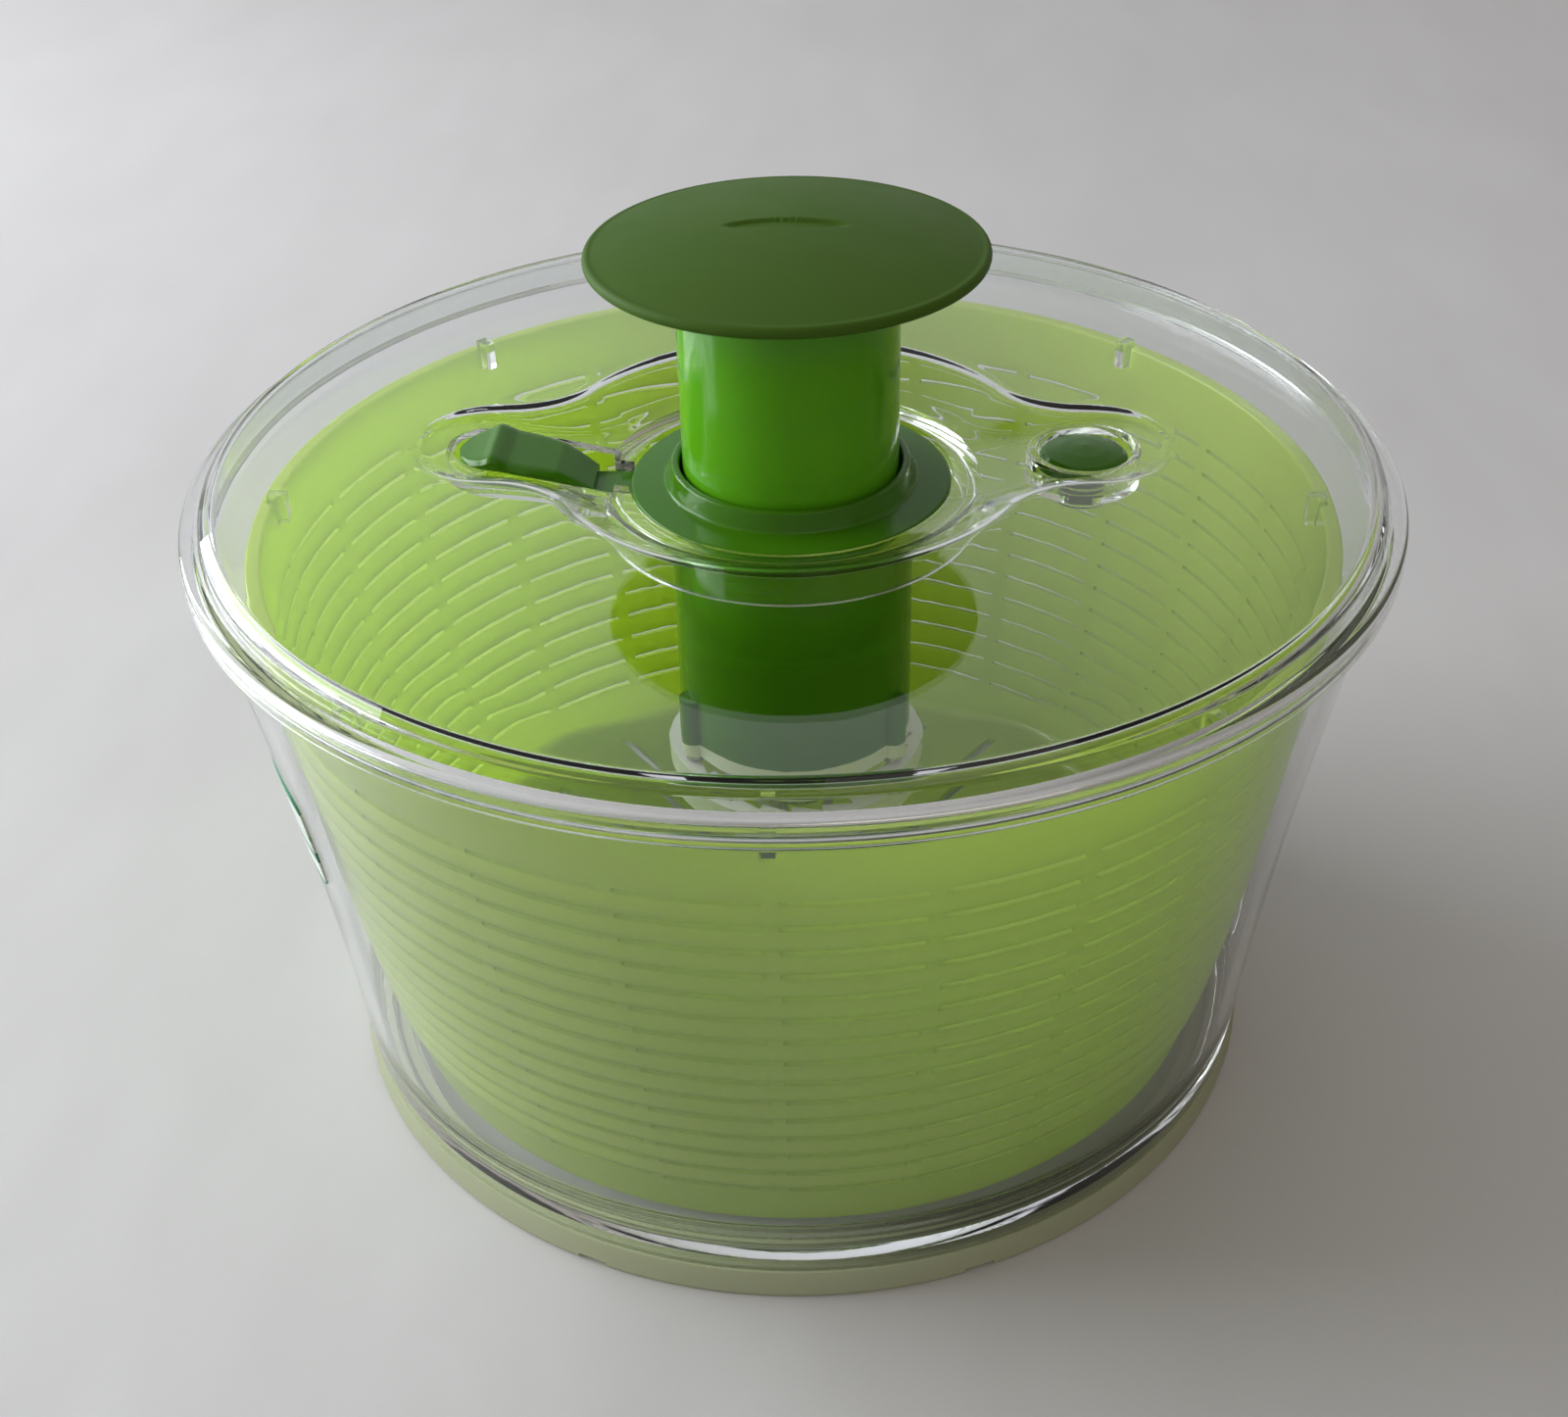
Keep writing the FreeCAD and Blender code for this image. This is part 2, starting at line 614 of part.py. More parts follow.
def plunger():
    inner, outer = PLUNGER_R
    bottom, top = PLUNGER_Z
    body = lathe([
        (inner, bottom),
        (outer, bottom),
        (outer, top),
        (0, top),
        (0, top - PLUNGER_WEB_T),
        (inner, top - PLUNGER_WEB_T),
    ])
    half_key = PLUNGER_KEY_W / 2
    key = block(-half_key, half_key, inner + 0.5, PLUNGER_KEY_R, bottom, bottom + PLUNGER_KEY_H)
    body = fused([body, key, turned(key, 180.0)])
    half_window = TONGUE_HALF_W + 0.5
    low_window = block(-outer - 1, -inner + 1, -half_window, half_window,
                       TONGUE_Z[0] - 0.6, TONGUE_Z[1] + 0.6)
    high_window = low_window.copy()
    high_window.translate(V(0, 0, STROKE))
    hole = rod(CLEARANCE_HOLE_R, top - PLUNGER_WEB_T - 1, top + 1, KNOB_SCREW_R)
    holes = around(hole, SCREW_COUNT, KNOB_SCREWS_FIRST)
    return without(body, [low_window, high_window] + holes)


def knob_outline(inset, bottom):
    """Half section of the mushroom knob, set in from its outer surface."""
    wide = KNOB_R - inset
    top = KNOB_TOP_Z - inset
    edge = max(KNOB_EDGE_R - inset, KNOB_EDGE_MIN_R)
    centre = wide - edge
    high = math.radians(70)
    low = math.radians(50)
    shoulder = (centre + edge * math.cos(high), KNOB_WIDE_Z + edge * math.sin(high))
    under = (centre + edge * math.cos(low), KNOB_WIDE_Z - edge * math.sin(low))
    return [
        (0, top),
        (shoulder[0] / 2, top - (top - shoulder[1]) / 4, "via"),
        shoulder,
        (wide, KNOB_WIDE_Z, "via"),
        under,
        (under[0] - KNOB_TUCK, bottom),
        (0, bottom),
    ]


def knob_grip():
    skin = lathe(knob_outline(0.0, KNOB_BOTTOM_Z))
    core = lathe(knob_outline(GRIP_T, KNOB_BOTTOM_Z - 1))
    length, width = RECESS_SIZE
    end = (length - width) / 2
    recess = prism([
        (-end, -width / 2),
        (end, -width / 2),
        (end + width / 2, 0, "via"),
        (end, width / 2),
        (-end, width / 2),
        (-end - width / 2, 0, "via"),
    ], KNOB_TOP_Z - RECESS_DEPTH, KNOB_TOP_Z + 1)
    return without(skin, [core, recess])


def knob_plate():
    core = lathe(knob_outline(GRIP_T, KNOB_BOTTOM_Z))
    hollow = lathe(knob_outline(GRIP_T + KNOB_SHELL_T, KNOB_BOTTOM_Z - 1))
    rib_top = KNOB_TOP_Z - GRIP_T - 2.0
    hub = rod(KNOB_HUB_R, PLUNGER_Z[1], rib_top)
    half_rib = KNOB_RIB_T / 2
    rib = block(KNOB_HUB_R - 1, KNOB_RIB_R, -half_rib, half_rib, KNOB_BOTTOM_Z + 1.2, rib_top)
    pilot = rod(PILOT_R, PLUNGER_Z[1] - 1, PLUNGER_Z[1] + 7, KNOB_SCREW_R)
    pilots = around(pilot, SCREW_COUNT, KNOB_SCREWS_FIRST)
    return without(fused([core.cut(hollow), hub] + around(rib, KNOB_RIBS)), pilots)


def screw_set(head_r, head_z, seat_z, tip_z, pcd_r, first):
    """Three upright screws with the head below the plate they hold."""
    screw = fused([rod(head_r, head_z, seat_z, pcd_r), rod(PILOT_R, seat_z, tip_z, pcd_r)])
    half_l, half_w, depth = CROSS_SLOT[0] / 2, CROSS_SLOT[1] / 2, CROSS_SLOT[2]
    cross = [
        block(pcd_r - half_w, pcd_r + half_w, -half_l, half_l, head_z - 1, head_z + depth),
        block(pcd_r - half_l, pcd_r + half_l, -half_w, half_w, head_z - 1, head_z + depth),
    ]
    return Part.makeCompound(around(without(screw, cross), SCREW_COUNT, first))


def knob_screws():
    seat = PLUNGER_Z[1] - PLUNGER_WEB_T
    return screw_set(KNOB_SCREW_HEAD_R, seat - SCREW_HEAD_H, seat, PLUNGER_Z[1] + 6,
                     KNOB_SCREW_R, KNOB_SCREWS_FIRST)


def base_screws():
    return screw_set(BASE_SCREW_HEAD_R, BASE_Z[0] - BASE_SCREW_HEAD_H, BASE_Z[0], SLEEVE_Z + 9,
                     BOSS_PCD_R, BASE_SCREWS_FIRST)


def mechanism_base():
    plate = rod(SLEEVE_R[1], BASE_Z[0], BASE_Z[1])
    spigot = rod(SLEEVE_R[0] - CLEAR_GAP, BASE_Z[1] - 1, SPRING_SEAT_Z)
    ear = rod(BOSS_R, BASE_Z[0], BASE_Z[1], BOSS_PCD_R)
    ears = around(ear, SCREW_COUNT, BASE_SCREWS_FIRST)
    bore = rod(BUSH_R, BASE_Z[0] - 1, SPRING_SEAT_Z + 1)
    hole = rod(CLEARANCE_HOLE_R, BASE_Z[0] - 1, SPRING_SEAT_Z + 1, BOSS_PCD_R)
    holes = around(hole, SCREW_COUNT, BASE_SCREWS_FIRST)
    return without(fused([plate, spigot] + ears), [bore] + holes)


def screw_bush():
    bore = SCREW_SHAFT_R + RUNNING_GAP
    return fused([
        tube(bore, BUSH_R, BASE_Z[0], SPRING_SEAT_Z),
        tube(bore, SCREW_COLLAR_R + 1, SPRING_SEAT_Z, BUSH_FLANGE_Z),
    ])


def thrust_washer():
    return tube(SCREW_SHAFT_R + RUNNING_GAP, SCREW_COLLAR_R, BUSH_FLANGE_Z, WASHER_Z - 0.05)


def return_spring():
    return coil(SPRING_MEAN_R, SPRING_WIRE_R, SPRING_SEAT_Z, PLUNGER_Z[0], SPRING_TURNS)


# ---- drive train --------------------------------------------------------------------------

def twisted_bar(length, width, z0, z1, grow=0.0):
    """Flat bar twisted one turn per lead, as a loft through turned sections."""
    steps = max(2, int(round((z1 - z0) / 1.5)))
    half_l = length / 2 + grow
    half_w = width / 2 + grow
    sections = []
    for i in range(steps + 1):
        z = z0 + (z1 - z0) * i / steps
        angle = 360.0 * (z - SCREW_Z[0]) / SCREW_LEAD
        corners = [V(half_l, -half_w, z), V(half_l, half_w, z), V(-half_l, half_w, z),
                   V(-half_l, -half_w, z), V(half_l, -half_w, z)]
        sections.append(turned(Part.makePolygon(corners), angle))
    return Part.makeLoft(sections, True, False)


def drive_screw():
    bar = twisted_bar(SCREW_SECTION[0], SCREW_SECTION[1], SCREW_Z[0] - 0.5, SCREW_Z[1])
    collar = rod(SCREW_COLLAR_R, WASHER_Z, SCREW_Z[0])
    shaft = rod(SCREW_SHAFT_R, SHAFT_END_Z, WASHER_Z + 1)
    return fused([bar, collar, shaft])


def drive_nut():
    body = rod(PLUNGER_R[0] - 0.02, NUT_Z[0], NUT_Z[1])
    slot = twisted_bar(SCREW_SECTION[0], SCREW_SECTION[1], NUT_Z[0] - 1.5, NUT_Z[1] + 1.5, NUT_GAP)
    return body.cut(slot)


def clutch_hub():
    bottom, top = CLUTCH_Z
    hub = rod(CLUTCH_HUB_R, bottom, top)
    pawl = prism([
        (CLUTCH_HUB_R - 2, -3.0),
        (CLUTCH_HUB_R + 2, -3.0),
        (PAWL_TIP_R - 2.4, 6.6),
        (PAWL_TIP_R - 1.6, 8.0),
        (PAWL_TIP_R - 4.0, 9.0),
        (CLUTCH_HUB_R - 4, 2.0),
    ], bottom, top)
    bore = rod(SCREW_SHAFT_R, bottom - 1, top + 1)
    return without(fused([hub] + around(pawl, PAWL_COUNT)), [bore])


def ratchet_ring():
    bottom, top = CLUTCH_Z
    step = 2 * math.pi / RATCHET_TEETH
    teeth = []
    for i in range(RATCHET_TEETH):
        start = i * step
        teeth.append((RATCHET_TIP_R * math.cos(start), RATCHET_TIP_R * math.sin(start)))
        end = start + step * 0.98
        teeth.append((RATCHET_ROOT_R * math.cos(end), RATCHET_ROOT_R * math.sin(end)))
    return rod(CUP_R[0], bottom, top).cut(prism(teeth, bottom - 1, top + 1))


def drive_disc():
    low, high = DISC_Z
    body = lathe([
        (SCREW_SHAFT_R + RUNNING_GAP, CUP_BOTTOM_Z[0]),
        (CUP_R[1] - 4, CUP_BOTTOM_Z[0]),
        (CUP_R[1], CUP_BOTTOM_Z[0] + 4),
        (CUP_R[1], low),
        (DISC_R, low),
        (DISC_R, DISC_RIM_Z, 0.6),
        (DISC_R - DISC_RIM_T, DISC_RIM_Z, 0.6),
        (DISC_R - DISC_RIM_T - 0.6, high),
        (BRAKE_TRACK_R[1], high),
        (BRAKE_TRACK_R[1], BRAKE_TRACK_Z, 0.4),
        (BRAKE_TRACK_R[0], BRAKE_TRACK_Z, 0.4),
        (BRAKE_TRACK_R[0], high),
        (CUP_R[0], high),
        (CUP_R[0], CUP_BOTTOM_Z[1]),
        (SCREW_SHAFT_R + RUNNING_GAP, CUP_BOTTOM_Z[1]),
    ])
    half_lug = LUG_W / 2
    lug = block(DISC_R - 1, LUG_R, -half_lug, half_lug, low, LUG_TOP_Z)
    half_rib = DISC_RIB_T / 2
    rib = block(CUP_R[1] - 0.5, BRAKE_TRACK_R[0], -half_rib, half_rib,
                low - DISC_RIB_H, low + 0.5)
    half_width, proud, lower_end = CUP_RIB[0] / 2, CUP_RIB[1], CUP_RIB[2]
    cup_rib = block(CUP_R[1] - 0.5, CUP_R[1] + proud, -half_width, half_width, lower_end, low + 0.5)
    ribs = around(rib, LUG_COUNT, 180.0 / LUG_COUNT) + around(cup_rib, LUG_COUNT, 180.0 / LUG_COUNT)
    return fused([body] + around(lug, LUG_COUNT) + ribs)


def disc_retainer():
    low, high = RETAINER_Z
    return tube(SCREW_SHAFT_R, RETAINER_R, low, high)


# ---- brake and lock -----------------------------------------------------------------------

def brake_button():
    cap = lathe([
        (0, BUTTON_TOP_Z),
        (BUTTON_R * 0.55, BUTTON_TOP_Z - 0.15),
        (BUTTON_R - 1.6, BUTTON_TOP_Z - 0.7),
        (BUTTON_R, BUTTON_TOP_Z - 2.0),
        (BUTTON_R, BUTTON_SKIRT_Z),
        (BUTTON_R - BUTTON_WALL, BUTTON_SKIRT_Z),
        (BUTTON_R - BUTTON_WALL, BUTTON_TOP_Z - 2.2),
        (0, BUTTON_TOP_Z - 2.2),
    ])
    cap.translate(V(BUTTON_X, 0, 0))
    stem = rod(BUTTON_STEM_R, PAD_Z[1] - 0.6, BUTTON_TOP_Z - 1.8, BUTTON_X)
    return fused([cap, stem])


def brake_pad():
    puck = rod(PAD_R, PAD_Z[0], PAD_Z[1], BUTTON_X)
    return puck.cut(rod(BUTTON_STEM_R, PAD_Z[1] - 0.6, PAD_Z[1] + 1, BUTTON_X))


def brake_spring():
    return coil(BRAKE_SPRING_R, BRAKE_SPRING_WIRE_R, WELL_SHELF_Z[1], BUTTON_TOP_Z - 2.2,
                BRAKE_SPRING_TURNS, BUTTON_X)


def lock_slider():
    side = face_of([
        (SLIDER_END_X, SLIDER_END_Z, 1.5),
        *FINGER_RIDGE,
        (SLIDER_NECK_X, SLIDER_NECK_Z),
        *SLIDER_UNDERSIDE,
    ], True)
    depth = SLIDER_HALF_W * 2
    side.translate(V(0, -depth / 2, 0))
    bar = side.extrude(V(0, depth, 0))
    plan = prism([
        (SLIDER_END_X, -SLIDER_HALF_W, SLIDER_END_R),
        (SLIDER_TAPER_X, -SLIDER_HALF_W),
        (SLIDER_NECK_X, -SLIDER_NECK_HALF_W),
        (SLIDER_NECK_X, SLIDER_NECK_HALF_W),
        (SLIDER_TAPER_X, SLIDER_HALF_W),
        (SLIDER_END_X, SLIDER_HALF_W, SLIDER_END_R),
    ], CHANNEL_FLOOR_Z, LID_TOP_Z + 1)
    pad = bar.common(plan)
    tongue = block(SLIDER_NECK_X - 2, TONGUE_TIP_X, -TONGUE_HALF_W, TONGUE_HALF_W,
                   TONGUE_Z[0], TONGUE_Z[1])
    return fused([pad, tongue])


# ---- export -------------------------------------------------------------------------------

NODES = [
    bowl, bowl_foot_ring, bowl_label, basket, lid, bezel, plunger, knob_grip, knob_plate,
    knob_screws, mechanism_base, base_screws, screw_bush, thrust_washer, return_spring,
    drive_nut, drive_screw, clutch_hub, ratchet_ring, drive_disc, disc_retainer,
    brake_button, brake_pad, brake_spring, lock_slider,
]

os.makedirs("parts", exist_ok=True)
for make in NODES:
    shape = make()
    shape.exportStep("parts/" + make.__name__ + ".step")
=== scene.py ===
import math

import bmesh
import bpy
import numpy as np
from mathutils import Matrix, Vector


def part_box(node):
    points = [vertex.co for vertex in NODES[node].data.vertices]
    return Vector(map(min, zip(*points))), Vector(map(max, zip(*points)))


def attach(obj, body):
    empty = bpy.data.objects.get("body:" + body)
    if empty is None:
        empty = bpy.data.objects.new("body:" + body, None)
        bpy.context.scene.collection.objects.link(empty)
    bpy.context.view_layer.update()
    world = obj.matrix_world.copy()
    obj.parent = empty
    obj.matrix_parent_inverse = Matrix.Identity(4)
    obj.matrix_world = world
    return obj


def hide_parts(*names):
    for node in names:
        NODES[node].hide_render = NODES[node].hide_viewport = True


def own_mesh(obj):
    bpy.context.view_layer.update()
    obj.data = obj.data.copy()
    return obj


# Salad spinner looks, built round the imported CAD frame.  Helpers take millimetres and the
# meshes they make are in metres.

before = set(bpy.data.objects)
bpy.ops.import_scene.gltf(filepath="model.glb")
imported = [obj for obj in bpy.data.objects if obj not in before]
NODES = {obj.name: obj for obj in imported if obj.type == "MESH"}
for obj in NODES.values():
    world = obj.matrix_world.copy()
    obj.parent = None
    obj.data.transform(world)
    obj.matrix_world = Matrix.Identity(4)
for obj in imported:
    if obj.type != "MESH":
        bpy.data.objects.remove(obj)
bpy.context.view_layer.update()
MM = 0.001


def corner(node):
    """Lowest and highest corner of a CAD node in millimetres."""
    low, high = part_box(node)
    return [v / MM for v in low], [v / MM for v in high]


# ---- driving dimensions, in millimetres ---------------------------------------------------

LIP_R = corner("bowl")[1][0]
LIP_TOP = corner("bowl")[1][2]
LIP_LOW = LIP_TOP - 6.0
BOWL_WALL = 2.5
BASE_LOW = corner("bowl_foot_ring")[1][2]
BOWL_OUT = ((LIP_R - 22.05, BASE_LOW), (LIP_R - 14.85, 72.5), (LIP_R - 3.85, LIP_LOW - 2.0))

LID_R = corner("lid")[1][0]
LID_TOP = corner("lid")[1][2]
LID_T = 2.4
DISH_R = 55.0
WING_X = 66.0
WING_R = 17.6
BLEND_R = 20.0
SEAT_R = 36.4
SEAT_Z = corner("bezel")[1][2] - 6.3
SKIRT_Z = corner("lid")[0][2]

BUTTON_LOW, BUTTON_HIGH = corner("brake_button")
BUTTON_X = (BUTTON_LOW[0] + BUTTON_HIGH[0]) / 2
BUTTON_R = (BUTTON_HIGH[0] - BUTTON_LOW[0]) / 2
SLIDER_LOW, SLIDER_HIGH = corner("lock_slider")
KNOB_LOW, KNOB_HIGH = corner("knob_grip")
BASKET_LOW, BASKET_HIGH = corner("basket")
DISC_LOW, DISC_HIGH = corner("drive_disc")
DISC_R = 116.2
SLOTS = (15, 6.5, 26.0, 1.3)   # rows, pitch, first height and height of the wall slots
GRIP_T = 1.8
CHANNEL_FLOOR_Z = 137.4
CHANNEL_WALL = 1.8
LABEL_START, LABEL_SPAN = math.radians(193.0), math.radians(20.0)


# ---- outlines -----------------------------------------------------------------------------

def arc_through(a, b, c, count):
    """Points of the arc from a through b to c, both ends included."""
    (x1, y1), (x2, y2), (x3, y3) = a, b, c
    d = 2 * (x1 * (y2 - y3) + x2 * (y3 - y1) + x3 * (y1 - y2))
    s1, s2, s3 = x1 * x1 + y1 * y1, x2 * x2 + y2 * y2, x3 * x3 + y3 * y3
    cx = (s1 * (y2 - y3) + s2 * (y3 - y1) + s3 * (y1 - y2)) / d
    cy = (s1 * (x3 - x2) + s2 * (x1 - x3) + s3 * (x2 - x1)) / d
    radius = math.hypot(x1 - cx, y1 - cy)
    start = math.atan2(y1 - cy, x1 - cx)
    middle = math.atan2(y2 - cy, x2 - cx)
    end = math.atan2(y3 - cy, x3 - cx)
    turn = (end - start) % math.tau
    if (middle - start) % math.tau > turn:
        turn -= math.tau
    return [(cx + radius * math.cos(start + turn * i / (count - 1)),
             cy + radius * math.sin(start + turn * i / (count - 1))) for i in range(count)]


def rounded(points, steps=6, closed=True, hold=0.15):
    """Outline whose corners with a third value are rounded to that radius.

    A point is added close to each end of a long straight run, so that smooth shading stays
    flat along it.
    """
    out = []
    count = len(points)
    for i, point in enumerate(points):
        x, y = point[:2]
        radius = point[2] if len(point) > 2 else 0.0
        ends = not closed and i in (0, count - 1)
        if radius <= 0 or ends:
            out.append((x, y))
            continue
        before, after = points[i - 1], points[(i + 1) % count]
        u = Vector((before[0] - x, before[1] - y)).normalized()
        w = Vector((after[0] - x, after[1] - y)).normalized()
        half = u.angle(w) / 2
        reach = radius / math.tan(half)
        centre = Vector((x, y)) + (u + w).normalized() * (radius / math.sin(half))
        p0 = Vector((x, y)) + u * reach
        p2 = Vector((x, y)) + w * reach
        p1 = centre + (Vector((x, y)) - centre).normalized() * radius
        out.extend(arc_through(tuple(p0), tuple(p1), tuple(p2), steps + 1))
    held = []
    total = len(out)
    for i in range(total):
        a = out[i]
        held.append(a)
        if not closed and i == total - 1:
            break
        b = out[(i + 1) % total]
        length = math.hypot(b[0] - a[0], b[1] - a[1])
        if length > 6 * hold:
            t = hold / length
            held.append((a[0] + (b[0] - a[0]) * t, a[1] + (b[1] - a[1]) * t))
            held.append((b[0] + (a[0] - b[0]) * t, b[1] + (a[1] - b[1]) * t))
    return held


# ---- mesh builders ------------------------------------------------------------------------

def finish_mesh(obj, sharp=32.0):
    """Faces outward, smooth shading, and hard edges above an angle."""
    mesh = obj.data
    bm = bmesh.new()
    bm.from_mesh(mesh)
    bmesh.ops.remove_doubles(bm, verts=bm.verts, dist=2e-6)
    bmesh.ops.recalc_face_normals(bm, faces=bm.faces)
    bm.to_mesh(mesh)
    bm.free()
    mesh.polygons.foreach_set("use_smooth", [True] * len(mesh.polygons))
    mesh.set_sharp_from_angle(angle=math.radians(sharp))
    mesh.update()
    return obj


def solid(name, verts, faces, sharp=32.0, tidy=True):
    mesh = bpy.data.meshes.new(name)
    mesh.from_pydata([(x * MM, y * MM, z * MM) for x, y, z in verts], [], faces)
    obj = bpy.data.objects.new(name, mesh)
    bpy.context.scene.collection.objects.link(obj)
    return finish_mesh(obj, sharp) if tidy else obj


def ring_faces(rows, columns, skip=()):
    """Quads of a closed loop of rows turned through closed columns."""
    faces = []
    for i in range(rows):
        a, b = i * columns, ((i + 1) % rows) * columns
        for j in range(columns):
            if (i, j) in skip:
                continue
            k = (j + 1) % columns
            faces.append((a + j, a + k, b + k, b + j))
    return faces


def lathe(name, loop, columns=192, sharp=32.0, x=0.0, tidy=True):
    """Closed (r, z) loop turned about an upright axis at x."""
    verts = []
    for r, z in loop:
        for j in range(columns):
            a = math.tau * j / columns
            verts.append((x + r * math.cos(a), r * math.sin(a), z))
    return solid(name, verts, ring_faces(len(loop), columns), sharp, tidy)


def prism(name, outline, z0, z1, sharp=32.0):
    """Upright solid from an (x, y) outline."""
    n = len(outline)
    verts = [(x, y, z0) for x, y in outline] + [(x, y, z1) for x, y in outline]
    faces = [tuple(range(n))[::-1], tuple(range(n, 2 * n))]
    faces += [(i, (i + 1) % n, n + (i + 1) % n, n + i) for i in range(n)]
    return solid(name, verts, faces, sharp)


def slab(name, section, half_width):
    """Solid of constant (x, z) section, as wide to each side of the middle."""
    n = len(section)
    verts = [(x, y, z) for y in (-half_width, half_width) for x, z in section]
    faces = [tuple(range(n)), tuple(range(n, 2 * n))[::-1]]
    faces += [(i, n + i, n + (i + 1) % n, (i + 1) % n) for i in range(n)]
    return solid(name, verts, faces)


def box_data(x0, x1, y0, y1, z0, z1, turn=0.0):
    corners = [(x, y, z) for z in (z0, z1) for x, y in ((x0, y0), (x1, y0), (x1, y1), (x0, y1))]
    c, s = math.cos(turn), math.sin(turn)
    verts = [(x * c - y * s, x * s + y * c, z) for x, y, z in corners]
    faces = [(3, 2, 1, 0), (4, 5, 6, 7), (0, 1, 5, 4), (1, 2, 6, 5), (2, 3, 7, 6), (3, 0, 4, 7)]
    return verts, faces


def boxes(name, data):
    verts, faces = [], []
    for v, f in data:
        faces += [tuple(k + len(verts) for k in face) for face in f]
        verts += v
    return solid(name, verts, faces)


def combine(obj, tool, how, sharp=32.0):
    """Boolean of obj with tool, applied; the tool is removed."""
    modifier = obj.modifiers.new("cut", "BOOLEAN")
    modifier.operation = how
    modifier.solver = "EXACT"
    modifier.object = tool
    dg = bpy.context.evaluated_depsgraph_get()
    mesh = bpy.data.meshes.new_from_object(obj.evaluated_get(dg))
    obj.modifiers.clear()
    old = obj.data
    obj.data = mesh
    bpy.data.meshes.remove(old)
    bpy.data.objects.remove(tool)
    mesh.polygons.foreach_set("use_smooth", [True] * len(mesh.polygons))
    mesh.set_sharp_from_angle(angle=math.radians(sharp))
    return obj


def coil(name, mean_r, wire_r, z0, z1, turns, x=0.0, round_steps=10, steps=40):
    """Round-wire spring with its two ends closed flat."""
    verts, faces = [], []
    rings = int(turns * steps) + 1
    for i in range(rings):
        t = i / (rings - 1)
        a = math.tau * turns * t
        eased = min(1.0, max(0.0, (t - 0.06) / 0.88))
        z = z0 + wire_r + (z1 - z0 - 2 * wire_r) * eased
        for k in range(round_steps):
            b = math.tau * k / round_steps
            r = mean_r + wire_r * math.cos(b)
            verts.append((x + r * math.cos(a), r * math.sin(a), z + wire_r * math.sin(b)))
    for i in range(rings - 1):
        for k in range(round_steps):
            m = (k + 1) % round_steps
            a, b = i * round_steps, (i + 1) * round_steps
            faces.append((a + k, a + m, b + m, b + k))
    faces.append(tuple(range(round_steps)))
    faces.append(tuple(range((rings - 1) * round_steps, rings * round_steps)))
    return solid(name, verts, faces, 40.0)


# ---- materials ----------------------------------------------------------------------------

class Nodes:
    """Short way to write a node tree."""

    def __init__(self, name):
        self.mat = bpy.data.materials.new(name)
        self.mat.use_nodes = True
        self.tree = self.mat.node_tree
        self.tree.nodes.clear()
        self.out = self.tree.nodes.new("ShaderNodeOutputMaterial")

    def add(self, kind, links=None, **values):
        node = self.tree.nodes.new("ShaderNode" + kind)
        for key, value in values.items():
            setattr(node, key, value)
        for key, value in (links or {}).items():
            socket = node.inputs[key]
            if isinstance(value, bpy.types.NodeSocket):
                self.tree.links.new(value, socket)
            else:
                socket.default_value = value
        return node

    def place(self):
        return self.add("TexCoord").outputs["Object"]

    def noise(self, scale, detail=3.0, rough=0.5, stretch=None):
        vector = self.place()
        if stretch:
            vector = self.add("Mapping", {"Vector": vector, "Scale": stretch}).outputs[0]
        return self.add("TexNoise", {"Vector": vector, "Scale": scale, "Detail": detail,
                                     "Roughness": rough}).outputs["Fac"]

    def spread(self, value, low, high, start=0.3, end=0.7):
        return self.add("MapRange", {"Value": value, "From Min": start, "From Max": end,
                                     "To Min": low, "To Max": high}).outputs["Result"]

    def blend_colour(self, factor, a, b):
        node = self.add("Mix", data_type="RGBA")
        self.tree.links.new(factor, node.inputs["Factor"])
        node.inputs[6].default_value = (*a, 1)
        node.inputs[7].default_value = (*b, 1)
        return node.outputs[2]

    def bump(self, height, strength, distance, normal=None):
        links = {"Height": height, "Strength": strength, "Distance": distance}
        if normal is not None:
            links["Normal"] = normal
        return self.add("Bump", links).outputs["Normal"]

    def surface(self, shader):
        self.tree.links.new(shader, self.out.inputs["Surface"])
        return self.mat


def clear_plastic(name, tint, shadow, wave=0.004, rough=(0.0, 0.012)):
    """Clear moulded plastic; lamps shine through it softened by a shadow tint."""
    n = Nodes(name)
    smear = n.noise(22.0, 4.0, 0.6)
    scratch = n.noise(140.0, 2.0, 0.5, (1.0, 1.0, 0.15))
    body = n.add("BsdfPrincipled", {
        "Base Color": (*tint, 1),
        "Roughness": n.spread(smear, rough[0], rough[1]),
        "IOR": 1.5,
        "Transmission Weight": 1.0,
        "Normal": n.bump(n.noise(9.0, 1.0), wave, 0.01,
                         n.bump(scratch, 0.012, 0.0004)),
    })
    through = n.add("BsdfTransparent", {"Color": (*shadow, 1)})
    path = n.add("LightPath")
    mix = n.add("MixShader", {0: path.outputs["Is Shadow Ray"], 1: body.outputs[0],
                              2: through.outputs[0]})
    return n.surface(mix.outputs[0])


def translucent_plastic(name, dark, light, glow, share, rough, grain, coat=0.0):
    """Milky plastic: a glossy diffuse skin with part of the light coming through."""
    n = Nodes(name)
    cloud = n.noise(7.0, 3.0)
    normal = n.bump(n.noise(grain, 3.0), 0.03, 0.0002)
    skin = n.add("BsdfPrincipled", {
        "Base Color": n.blend_colour(n.spread(cloud, 0.0, 1.0), dark, light),
        "Roughness": n.spread(n.noise(60.0), rough[0], rough[1]),
        "IOR": 1.5,
        "Coat Weight": coat,
        "Coat Roughness": 0.12,
        "Normal": normal,
    })
    inner = n.add("BsdfTranslucent", {"Color": (*glow, 1), "Normal": normal})
    mix = n.add("MixShader", {0: share, 1: skin.outputs[0], 2: inner.outputs[0]})
    return n.surface(mix.outputs[0])


